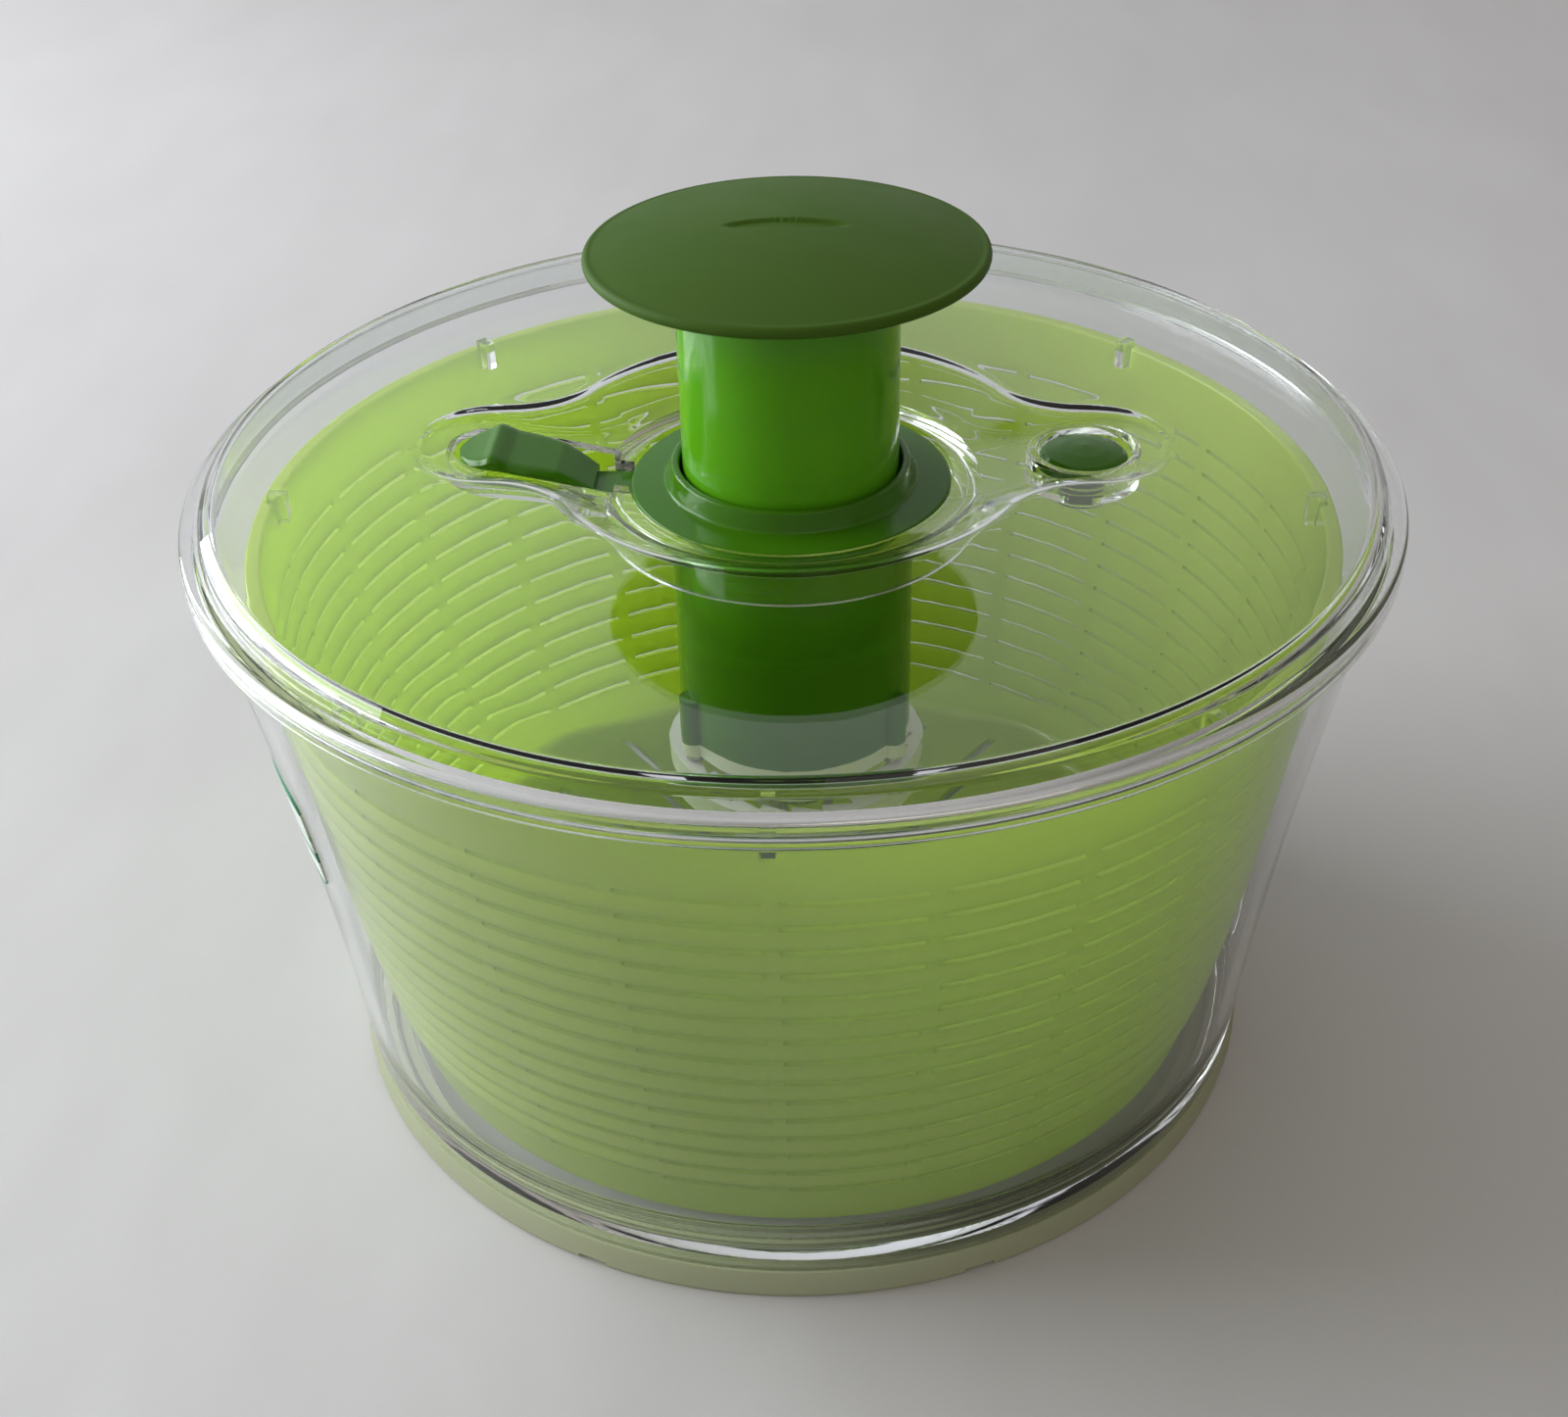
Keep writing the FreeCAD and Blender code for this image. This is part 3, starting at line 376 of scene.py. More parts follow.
def solid_plastic(name, dark, light, rough, grain=900.0, bump=0.06, shine=0.5, wave=0.0):
    """Opaque moulded or brushed surface with cloudy colour, smears and fine grain."""
    n = Nodes(name)
    cloud = n.noise(14.0, 4.0, 0.55)
    normal = n.bump(n.noise(grain, 2.0), bump, 0.0003)
    if wave:
        normal = n.bump(n.noise(26.0, 1.0), wave, 0.004, normal)
    body = n.add("BsdfPrincipled", {
        "Base Color": n.blend_colour(n.spread(cloud, 0.0, 1.0), dark, light),
        "Roughness": n.spread(n.noise(48.0, 4.0, 0.6), rough[0], rough[1]),
        "IOR": 1.5,
        "Specular IOR Level": shine,
        "Normal": normal,
    })
    return n.surface(body.outputs[0])


def drawn_steel(name):
    n = Nodes(name)
    streak = n.noise(420.0, 2.0, 0.5, (1.0, 1.0, 0.04))
    body = n.add("BsdfPrincipled", {
        "Base Color": n.blend_colour(n.spread(streak, 0.0, 1.0), (0.42, 0.42, 0.41), (0.66, 0.66, 0.65)),
        "Metallic": 1.0,
        "Roughness": n.spread(streak, 0.16, 0.34),
        "Normal": n.bump(streak, 0.1, 0.0002),
    })
    return n.surface(body.outputs[0])


def label_film(name, low, high):
    """White film with green bands and a pale band between them, no lettering."""
    n = Nodes(name)
    height = n.add("SeparateXYZ", {"Vector": n.place()}).outputs["Z"]
    level = n.add("MapRange", {"Value": height, "From Min": low * MM, "From Max": high * MM}).outputs[0]
    ramp = n.add("ValToRGB", {"Fac": level})
    ramp.color_ramp.interpolation = "CONSTANT"
    white, green, pale = (0.80, 0.83, 0.80, 1), (0.05, 0.30, 0.16, 1), (0.45, 0.66, 0.40, 1)
    stops = ramp.color_ramp.elements
    stops[0].color = green
    stops[0].position = 0.0
    stops[1].color = white
    stops[1].position = 0.10
    for position, colour in ((0.34, green), (0.46, white), (0.60, pale), (0.66, white), (0.90, green)):
        stops.new(position).color = colour
    body = n.add("BsdfPrincipled", {
        "Base Color": ramp.outputs["Color"],
        "Roughness": n.spread(n.noise(90.0), 0.28, 0.42),
        "Normal": n.bump(n.noise(300.0), 0.05, 0.0002),
    })
    return n.surface(body.outputs[0])


def paper(name):
    """Pale embossed sheet for the floor."""
    n = Nodes(name)
    soft = n.noise(5.0, 4.0, 0.5)
    emboss = n.noise(16.0, 2.0, 0.4, (1.0, 0.5, 1.0))
    body = n.add("BsdfPrincipled", {
        "Base Color": n.blend_colour(n.spread(soft, 0.0, 1.0), (0.56, 0.555, 0.55), (0.60, 0.595, 0.59)),
        "Roughness": n.spread(soft, 0.42, 0.55),
        "Normal": n.bump(emboss, 0.25, 0.006, n.bump(n.noise(240.0), 0.06, 0.0006)),
    })
    return n.surface(body.outputs[0])


MATERIALS = {
    "clear_plastic": clear_plastic("clear_polished", (0.93, 0.94, 0.942), (0.96, 0.965, 0.955)),
    "disc_clear": clear_plastic("clear_satin", (0.95, 0.975, 0.94), (0.93, 0.95, 0.90),
                                0.006, (0.004, 0.02)),
    "basket_green": translucent_plastic("basket_leaf_green", (0.50, 0.62, 0.08), (0.58, 0.70, 0.11),
                                        (0.64, 0.80, 0.13), 0.55, (0.14, 0.24), 500.0, 0.6),
    "foot_tpe": translucent_plastic("foot_pale_green", (0.60, 0.64, 0.44), (0.66, 0.70, 0.50),
                                    (0.76, 0.80, 0.56), 0.45, (0.35, 0.5), 700.0),
    "green_gloss": solid_plastic("green_polished", (0.085, 0.33, 0.007), (0.105, 0.38, 0.010),
                                 (0.09, 0.17), 700.0, 0.02, 0.34, 0.02),
    "green_deep": solid_plastic("green_moulded", (0.042, 0.155, 0.003), (0.052, 0.18, 0.005),
                                (0.12, 0.20), 700.0, 0.02, 0.28, 0.02),
    "green_soft": solid_plastic("green_soft_touch", (0.047, 0.110, 0.006), (0.054, 0.122, 0.008),
                                (0.52, 0.62), 1500.0, 0.10, 0.16),
    "white_acetal": solid_plastic("acetal_natural", (0.66, 0.68, 0.62), (0.74, 0.75, 0.70), (0.28, 0.4)),
    "pad_rubber": solid_plastic("rubber_black", (0.02, 0.02, 0.02), (0.035, 0.035, 0.035), (0.6, 0.75)),
    "steel": drawn_steel("steel_drawn"),
    "label": label_film("label_film", corner("bowl_label")[0][2], corner("bowl_label")[1][2]),
}


def dress(obj, slot, material=None):
    obj.data.materials.clear()
    obj.data.materials.append(MATERIALS[material or slot])
    return obj


def stand_for(obj, node, body, slot, material=None):
    """New piece shown in place of a CAD node."""
    dress(obj, slot, material)
    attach(obj, body)
    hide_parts(node)
    return obj


# ---- bowl ---------------------------------------------------------------------------------

def wall_arc(offset, low, high, count):
    """Points up the bowl wall, set in by offset, from one height to another."""
    a, b, c = [(r - offset, z) for r, z in BOWL_OUT]
    line = arc_through(a, b, c, 400)
    picked = [p for p in line if low <= p[1] <= high]
    step = (len(picked) - 1) / (count - 1)
    return [picked[round(i * step)] for i in range(count)]


def make_bowl():
    foot_r = BOWL_OUT[0][0]
    top_r = BOWL_OUT[2][0]
    floor_z = BASE_LOW + 3.0
    inner_foot = foot_r - BOWL_WALL
    corner_z = floor_z + 10.0
    tongue = (106.0, 108.6, 3.5)
    outer = [(foot_r - 0.6, BASE_LOW)] + wall_arc(0.0, BASE_LOW + 0.6, LIP_LOW - 2.6, 40)
    outer += [(top_r + 0.25, LIP_LOW - 0.9), (top_r + 1.0, LIP_LOW - 0.1)]
    lip = rounded([
        (top_r + 1.3, LIP_LOW),
        (LIP_R, LIP_LOW, 1.0),
        (LIP_R, LIP_TOP, 1.6),
        (LID_R + 0.3, LIP_TOP, 0.9),
        (LID_R + 0.3, LIP_LOW, 0.2),
        (top_r - BOWL_WALL, LIP_LOW, 0.5),
        (top_r - BOWL_WALL - 0.05, LIP_LOW - 2.2),
    ], 6, closed=False)
    inner = wall_arc(BOWL_WALL, corner_z + 0.8, LIP_LOW - 2.6, 40)[::-1]
    foot = arc_through((inner_foot + 0.5, corner_z), (inner_foot - 2.7, floor_z + 2.75),
                       (inner_foot - 10.0, floor_z), 14)
    middle = rounded([
        (11.5, floor_z, 1.2),
        (8.2, floor_z + 1.8, 0.8),
        (2.5, 20.0, 1.2),
        (0.0, 20.0),
        (0.0, BASE_LOW),
    ], 4, closed=False)
    under = rounded([
        (tongue[0], BASE_LOW, 0.3),
        (tongue[0], tongue[2], 0.3),
        (tongue[1], tongue[2], 0.3),
        (tongue[1], BASE_LOW, 0.3),
    ], 3, closed=False)
    loop = outer + lip + inner + foot + [(60.0, floor_z)] + middle + [(60.0, BASE_LOW)] + under
    bowl = lathe("bowl_clear", loop, 288, 40.0)
    stand_for(bowl, "bowl", "bowl", "clear_plastic")
    return bowl


# ---- basket -------------------------------------------------------------------------------

def make_basket():
    """Slotted wall in shallow louvres, with upright ribs and a slotted floor."""
    sectors, rib_columns, slot_columns = 24, 2, 8
    rows, pitch, first, high_slot = SLOTS
    wall = 1.8
    low_z = BASKET_LOW[2]
    top_low, top_high = BASKET_HIGH[2] - 2.0, BASKET_HIGH[2]
    rim_r = BASKET_HIGH[0]
    top_r = rim_r - 1.7
    arc = arc_through((101.5, low_z + 3), (112.8, 71.5), (top_r, top_low), 600)
    arc_z = [p[1] for p in arc]
    arc_r = [p[0] for p in arc]

    def wall_r(z):
        return float(np.interp(z, arc_z, arc_r))

    loop, slot_rows = [], []

    def add(r, z, tag=""):
        loop.append((r, z, tag))

    for r, z in rounded([(14.5, low_z), (98.0, low_z, 1.0)], 3, closed=False):
        add(r, z)
    for r, z in arc_through((98.4, low_z + 0.05), (100.7, low_z + 1.0), (101.5, low_z + 3.4), 6):
        add(r, z)
    add(wall_r(first - 4), first - 4)
    add(wall_r(first - 0.5), first - 0.5)
    bulge = 0.95
    for k in range(rows):
        z = first + k * pitch
        slot_rows.append(len(loop))
        add(wall_r(z), z, "slot")
        add(wall_r(z + high_slot), z + high_slot, "slot_top")
        if k < rows - 1:
            run = pitch - high_slot
            for share in (0.08, 0.22, 0.36, 0.5, 0.64, 0.78, 0.92):
                zz = z + high_slot + run * share
                add(wall_r(zz) + bulge * math.sin(math.pi * share), zz)
    last = first + (rows - 1) * pitch + high_slot
    add(wall_r(last + 1.0) + 0.05, last + 1.0)
    add(wall_r((last + top_low) / 2), (last + top_low) / 2)
    for r, z in rounded([(top_r, top_low - 0.8), (top_r, top_low, 0.4), (rim_r, top_low, 0.3),
                         (rim_r, top_high, 0.7), (top_r - wall, top_high, 0.7),
                         (top_r - wall - 0.02, top_low)], 4, closed=False):
        add(r, z)
    outer_count = len(loop)
    partner = {}
    inner_rows = [i for i in range(slot_rows[0] - 1, outer_count)
                  if loop[i][2] in ("slot", "slot_top")]
    add(wall_r((last + top_low) / 2) - wall, (last + top_low) / 2)
    for i in reversed(inner_rows):
        partner[i] = len(loop)
        z = loop[i][1]
        add(wall_r(z) - wall + (0.25 if loop[i][2] == "slot" else 0.0), z)
    add(wall_r(first - 4) - wall, first - 4)
    for r, z in arc_through((101.2 - wall, low_z + 6), (98.6, low_z + 3.4), (95.0, low_z + 2.0), 7):
        add(r, z)
    add(88.0, low_z + 2.0)
    add(32.0, low_z + 2.0)
    for r, z in rounded([(15.5, low_z + 2.0, 1.0), (11.0, 24.0, 1.6), (0.0, 24.0), (0.0, 20.4),
                         (3.5, 20.4), (9.6, low_z), (14.0, low_z)], 4, closed=False):
        add(r, z)

    per = rib_columns + slot_columns
    columns = sectors * per
    rib_angle = 3.0 / 112.8
    sector_angle = math.tau / sectors
    angles = []
    for s in range(sectors):
        base = s * sector_angle - rib_angle / 2
        angles += [base + rib_angle * k / rib_columns for k in range(rib_columns)]
        run = sector_angle - rib_angle
        angles += [base + rib_angle + run * k / slot_columns for k in range(slot_columns)]
    verts = []
    for r, z, tag in loop:
        for a in angles:
            verts.append((r * math.cos(a), r * math.sin(a), z))
    skip = set()
    for i in slot_rows:
        inner_top = partner[i + 1]
        for s in range(sectors):
            first_column = s * per + rib_columns
            for j in range(first_column, first_column + slot_columns):
                skip.add((i, j))
                skip.add((inner_top, j))
    faces = ring_faces(len(loop), columns, skip)
    for i in slot_rows:
        low_out, high_out = i * columns, (i + 1) * columns
        low_in, high_in = partner[i] * columns, partner[i + 1] * columns
        for s in range(sectors):
            a = s * per + rib_columns
            b = a + slot_columns
            for j in range(a, b):
                k = (j + 1) % columns
                faces.append((low_out + j, low_out + k, low_in + k, low_in + j))
                faces.append((high_out + j, high_in + j, high_in + k, high_out + k))
            b %= columns
            faces.append((low_out + a, low_in + a, high_in + a, high_out + a))
            faces.append((low_out + b, high_out + b, high_in + b, low_in + b))
    basket = solid("basket_green", verts, faces, 28.0)
    cutters = []
    for k in range(sectors):
        turn = sector_angle * (k + 0.5)
        cutters.append(box_data(32.0, 88.0, -1.3, 1.3, low_z - 1, low_z + 3, turn))
    for k in range(8):
        cutters.append(box_data(DISC_R - 2, top_r + 0.3, -1.6, 1.6, 128.4, top_high + 1, math.tau * k / 8))
    combine(basket, boxes("basket_cutters", cutters), "DIFFERENCE", 28.0)
    return stand_for(basket, "basket", "basket", "basket_green")


# ---- lid ----------------------------------------------------------------------------------

def recess_line(count=1600):
    """One quadrant of the recess outline, from the dish towards the wing's tip."""
    far, near = DISH_R + BLEND_R, WING_R + BLEND_R
    bx = (far ** 2 - near ** 2 + WING_X ** 2) / (2 * WING_X)
    by = math.sqrt(far ** 2 - bx ** 2)
    start = math.atan2(by, bx)
    dish = [(DISH_R * math.cos(a), DISH_R * math.sin(a))
            for a in np.linspace(math.pi / 2, start, count // 3)]
    a0 = math.atan2(-by, -bx)
    a1 = math.atan2(-by, WING_X - bx)
    blend = [(bx + BLEND_R * math.cos(a), by + BLEND_R * math.sin(a))
             for a in np.linspace(a0, a1, count // 3)]
    tip_start = math.atan2(by, bx - WING_X)
    tip = [(WING_X + WING_R * math.cos(a), WING_R * math.sin(a))
           for a in np.linspace(tip_start, 0.0, count // 3)]
    return np.array(dish + blend[1:] + tip[1:])


class LidSurface:
    """Height of the lid's upper face over a point of its plan."""

    def __init__(self):
        self.line = recess_line()
        angle = np.arctan2(self.line[:, 1], self.line[:, 0])
        order = np.argsort(angle)
        self.angle = angle[order]
        self.radius = np.hypot(self.line[:, 0], self.line[:, 1])[order]
        d = np.arange(-4.0, 45.0, 0.05)
        drop = np.interp(d, [-4, 0, 0.9, 5, 10, 15, 18, 22, 45],
                         [0, 0, 0.55, 3.0, 5.9, 7.9, 8.6, 8.9, 9.2])
        kernel = np.exp(-0.5 * (np.arange(-60, 61) * 0.05 / 0.9) ** 2)
        smooth = np.convolve(np.pad(drop, 60, "edge"), kernel / kernel.sum(), "valid")
        self.d, self.drop = d, smooth
        r = np.arange(30.0, 100.0, 0.05)
        ramp = np.interp(r, [30, 37, 65, 84.5, 100], [8.7, 8.5, 2.55, 0.0, -3.5])
        self.r = r
        self.ramp = np.convolve(np.pad(ramp, 60, "edge"), kernel / kernel.sum(), "valid")

    def outline(self, theta):
        folded = np.abs(np.arctan2(np.abs(np.sin(theta)), np.abs(np.cos(theta))))
        return np.interp(folded, self.angle, self.radius)

    def depth(self, x, y):
        ax, ay = np.abs(x), np.abs(y)
        flat = np.stack([ax.ravel(), ay.ravel()], 1)
        best = np.full(len(flat), 1e9)
        for start in range(0, len(self.line), 200):
            part = self.line[start:start + 200]
            gap = np.hypot(flat[:, None, 0] - part[None, :, 0], flat[:, None, 1] - part[None, :, 1])
            best = np.minimum(best, gap.min(1))
        best = best.reshape(x.shape)
        r = np.hypot(x, y)
        inside = r < self.outline(np.arctan2(y, x))
        signed = np.where(inside, best, -best)
        wall = np.interp(signed, self.d, self.drop)
        ramp = np.interp(r, self.r, self.ramp)
        k = 0.9
        h = np.clip(0.5 + 0.5 * (wall - ramp) / k, 0, 1)
        lower = wall * (1 - h) + ramp * h - k * h * (1 - h)
        return np.where(inside, np.maximum(lower, 0.0), np.minimum(wall, np.maximum(ramp, 0.0)))


def make_lid():
    surface = LidSurface()
    columns = 720
    theta = np.arange(columns) * math.tau / columns
    edge = surface.outline(theta)
    inner_t = np.concatenate([np.linspace(0, 0.55, 16), np.linspace(0.58, 0.93, 22),
                              np.linspace(0.94, 1.0, 7)])
    rows = [SEAT_R + (edge - SEAT_R) * t for t in inner_t]
    for gap in (0.35, 0.8, 1.4, 2.2, 3.5):
        rows.append(edge + gap)
    last = edge + 3.5
    flat_r = LID_R - 4.4
    for t in np.linspace(0.1, 1.0, 10):
        rows.append(last + (flat_r - last) * t)
    xs, ys, zs = [], [], []
    stack = np.array(rows)
    gx, gy = stack * np.cos(theta), stack * np.sin(theta)
    depth = surface.depth(gx, gy)
    top_z = LID_TOP - depth

    def ring(r, z):
        r = np.broadcast_to(np.asarray(r, float), (columns,))
        z = np.broadcast_to(np.asarray(z, float), (columns,))
        xs.append(r * np.cos(theta))
        ys.append(r * np.sin(theta))
        zs.append(z.copy())

    for r, z in zip(rows, top_z):
        ring(r, z)
    plate_low = LID_TOP - LID_T
    for r, z in rounded([
        (flat_r + 0.3, LID_TOP),
        (LID_R - 2.6, LID_TOP, 1.0),
        (LID_R, LID_TOP - 2.2, 1.2),
        (LID_R, LIP_LOW + 0.05, 0.4),
        (LID_R - 2.2, LIP_LOW + 0.05, 0.4),
        (LID_R - 2.2, plate_low, 1.4),
        (LID_R - 4.6, plate_low),
    ], 6, closed=False):
        ring(r, z)
    skirt_out, skirt_in = 42.4, 40.4
    seat_low = SEAT_Z - 2.2
    under_rows = [r for r in rows[::-1] if r.min() > skirt_out + 0.3]
    mixed = [np.maximum(r, skirt_out) for r in rows[::-1] if r.min() <= skirt_out + 0.3 < r.max()]
    under_rows = under_rows[1:] + [m for m in mixed if (m > skirt_out + 0.05).any()]
    under_rows.append(np.full(columns, skirt_out))
    under = np.array(under_rows)
    ux, uy = under * np.cos(theta), under * np.sin(theta)
    under_z = LID_TOP - surface.depth(ux, uy) - LID_T + 0.2
    for r, z in zip(under_rows, under_z):
        ring(r, z)
    for r, z in rounded([
        (skirt_out, 141.0),
        (skirt_out, SKIRT_Z, 0.4),
        (skirt_in, SKIRT_Z, 0.4),
        (skirt_in, seat_low, 0.6),
        (27.7, seat_low, 0.3),
        (27.7, SEAT_Z, 0.3),
        (SEAT_R, SEAT_Z),
    ], 4, closed=False):
        ring(r, z)
    total = len(xs)
    verts = np.stack([np.concatenate(xs), np.concatenate(ys), np.concatenate(zs)], 1)
    lid = solid("lid_clear", verts.tolist(), ring_faces(total, columns), 34.0)

    # button well, guide and slider channel below the cover
    well = rounded([
        (10.3, 141.5), (10.3, 148.7, 0.5), (12.6, 148.7, 0.7), (12.6, 139.9, 0.5),
        (7.0, 139.9), (7.0, 136.0, 0.3), (5.6, 136.0, 0.3), (5.6, 139.9), (2.9, 139.9), (2.9, 141.5),
    ], 4)
    space = rounded([(0, 139.95), (12.5, 139.95), (12.5, 148.0), (10.3, 151.8), (0, 151.8)], 2)
    plug = lathe("well_space", space, 72, 34.0, BUTTON_X)
    combine(lid, plug, "DIFFERENCE", 34.0)
    combine(lid, lathe("well", well, 72, 34.0, BUTTON_X), "UNION", 34.0)

    end_x, root_x = SLIDER_LOW[0] - 1.2, -40.9
    cover_line = [(root_x, 142.0), (-64.0, 147.2), (end_x - 2.0, 148.6)]
    floor_line = [(end_x - 2.0, 144.5), (-52.0, 141.8), (-47.2, CHANNEL_FLOOR_Z)]
    under_line = [(x, z - CHANNEL_WALL) for x, z in floor_line]
    box = slab("channel", cover_line + under_line + [(root_x, CHANNEL_FLOOR_Z - CHANNEL_WALL)], 12.0)
    tip_x = end_x - CHANNEL_WALL
    plan = [(tip_x, -12.0, 11.0), (root_x, -12.0), (root_x, 12.0), (tip_x, 12.0, 11.0)]
    combine(box, prism("channel_plan", rounded(plan, 14), 130.0, 154.0), "INTERSECT", 34.0)
    combine(lid, box, "UNION", 34.0)
    section = [(-39.0, 153.0), (end_x - 2.0, 153.0)] + floor_line + [(-39.0, CHANNEL_FLOOR_Z)]
    slot = slab("slot", section, 10.2)
    plan = [(end_x, -10.2, 9.2), (-39.0, -10.2, 0.6), (-39.0, 10.2, 0.6), (end_x, 10.2, 9.2)]
    combine(slot, prism("slot_plan", rounded(plan, 14), 130.0, 154.0), "INTERSECT", 34.0)
    combine(lid, slot, "DIFFERENCE", 34.0)
    tongue = boxes("tongue_way", [box_data(-41.5, -26.0, -5.9, 5.9, CHANNEL_FLOOR_Z, 153.0)])
    combine(lid, tongue, "DIFFERENCE", 34.0)
    return stand_for(lid, "lid", "lid", "clear_plastic")


# ---- drive disc ---------------------------------------------------------------------------

def make_disc():
    low, high = 129.0, 131.0
    rim_z, rim_t = DISC_HIGH[2], 2.4
    cup_low = DISC_LOW[2]
    loop = rounded([
        (5.05, cup_low),
        (29.0, cup_low, 1.0),
        (33.0, cup_low + 4.0, 1.5),
        (33.0, low, 0.8),
        (DISC_R, low, 0.8),
        (DISC_R, rim_z, 0.7),
        (DISC_R - rim_t, rim_z, 0.7),
        (DISC_R - rim_t - 0.6, high, 0.8),
        (68.0, high, 0.6),
        (68.0, 134.0, 0.6),
        (61.0, 134.0, 0.6),
        (61.0, high, 0.6),
        (31.0, high, 0.8),
        (31.0, cup_low + 3.6, 0.8),
        (5.05, cup_low + 3.6),
    ], 5)
    disc = lathe("drive_disc_clear", loop, 256, 34.0)
    adds = []
    for k in range(8):
        adds.append(box_data(DISC_R - 1, 119.4, -1.3, 1.3, low, 136.0, math.tau * k / 8))
        turn = math.tau * (k + 0.5) / 8
        adds.append(box_data(32.5, 61.0, -0.8, 0.8, low - 5.0, low + 0.5, turn))
        adds.append(box_data(32.5, 34.0, -1.1, 1.1, 80.0, low + 0.4, turn))
    combine(disc, boxes("disc_ribs", adds), "UNION", 34.0)
    return stand_for(disc, "drive_disc", "drive_disc", "clear_plastic", "disc_clear")


# ---- knob, button and slider --------------------------------------------------------------

def knob_side(inset):
    """Half section of the knob, from its crown round the thin edge to the open underside."""
    wide, top = KNOB_HIGH[0] - inset, KNOB_HIGH[2] - inset
    edge_z, edge_r = KNOB_LOW[2] + 4.6, max(1.5 - inset, 0.4)
    shoulder = (wide - 1.1 * edge_r, edge_z + 0.9 * edge_r)
    dome = arc_through((0, top), (shoulder[0] / 2, top - (top - shoulder[1]) * 0.27), shoulder, 60)
    rim = arc_through(shoulder, (wide, edge_z), (wide - 0.7 * edge_r, edge_z - 0.8 * edge_r), 14)
    foot_r = KNOB_HIGH[0] - 8.6 - inset
    under = arc_through(rim[-1], ((rim[-1][0] + foot_r) / 2 + 0.5, (rim[-1][1] + KNOB_LOW[2]) / 2 + 0.4),
                        (foot_r, KNOB_LOW[2]), 8)
    return dome + rim[1:] + under[1:]


def make_knob_plate():
    """Rigid core inside the skin: a dished shell, a hub over the plunger, ribs between them."""
    shell_t, hub_r, seat_z = 2.0, 20.0, 188.6
    loop = knob_side(GRIP_T + 0.02) + knob_side(GRIP_T + shell_t)[::-1]
    plate = lathe("knob_core", loop, 192, 40.0)
    crown = KNOB_HIGH[2] - GRIP_T - 1.0
    hub = lathe("knob_hub", rounded([(0, seat_z), (hub_r, seat_z, 0.4), (hub_r, crown), (0, crown)], 3), 96)
    combine(plate, hub, "UNION", 40.0)
    low = KNOB_LOW[2] + 1.2
    high = KNOB_HIGH[2] - 4.6
    ribs = [box_data(hub_r - 1, 33.0, -0.8, 0.8, low, high, math.tau * k / 6) for k in range(6)]
    combine(plate, boxes("knob_ribs", ribs), "UNION", 40.0)
    return stand_for(plate, "knob_plate", "knob", "green_gloss")


def make_knob_grip():
    """Soft mushroom skin with a shallow oval recess on its crown."""
    top = KNOB_HIGH[2]
    loop = knob_side(0.0) + knob_side(GRIP_T)[::-1]
    knob = lathe("knob_skin", loop, 256, 40.0, tidy=False)
    mesh = knob.data
    co = np.empty(len(mesh.vertices) * 3, np.float32)
    mesh.vertices.foreach_get("co", co)
    co = co.reshape(-1, 3)
    rx, ry, depth = 12.2, 2.55, 0.7
    crown = (co[:, 2] > (top - 1.0) * MM) & (np.hypot(co[:, 0], co[:, 1]) < 16 * MM)
    q = np.sqrt((co[:, 0] / MM / rx) ** 2 + (co[:, 1] / MM / ry) ** 2)
    t = np.clip((1.12 - q) / 0.24, 0, 1)
    co[crown, 2] -= (depth * t * t * (3 - 2 * t) * MM)[crown]
    mesh.vertices.foreach_set("co", co.ravel())
    finish_mesh(knob, 40.0)
    return stand_for(knob, "knob_grip", "knob", "green_soft")


def make_button():
    """Round cap with a low domed crown."""
    top = BUTTON_HIGH[2]
    skirt = 145.6
    loop = rounded([
        (0, top), (BUTTON_R * 0.5, top - 0.45, 7.0), (BUTTON_R - 1.4, top - 1.3, 1.2),
        (BUTTON_R, top - 2.5, 0.7),
        (BUTTON_R, skirt, 0.3), (BUTTON_R - 1.6, skirt, 0.3), (BUTTON_R - 1.6, top - 2.9, 0.4),
        (2.6, top - 2.9, 0.4), (2.6, corner("brake_button")[0][2]), (0, corner("brake_button")[0][2]),
    ], 6)
    button = lathe("button_cap", loop, 96, 40.0, BUTTON_X)
    return stand_for(button, "brake_button", "brake_button", "green_gloss", "green_deep")


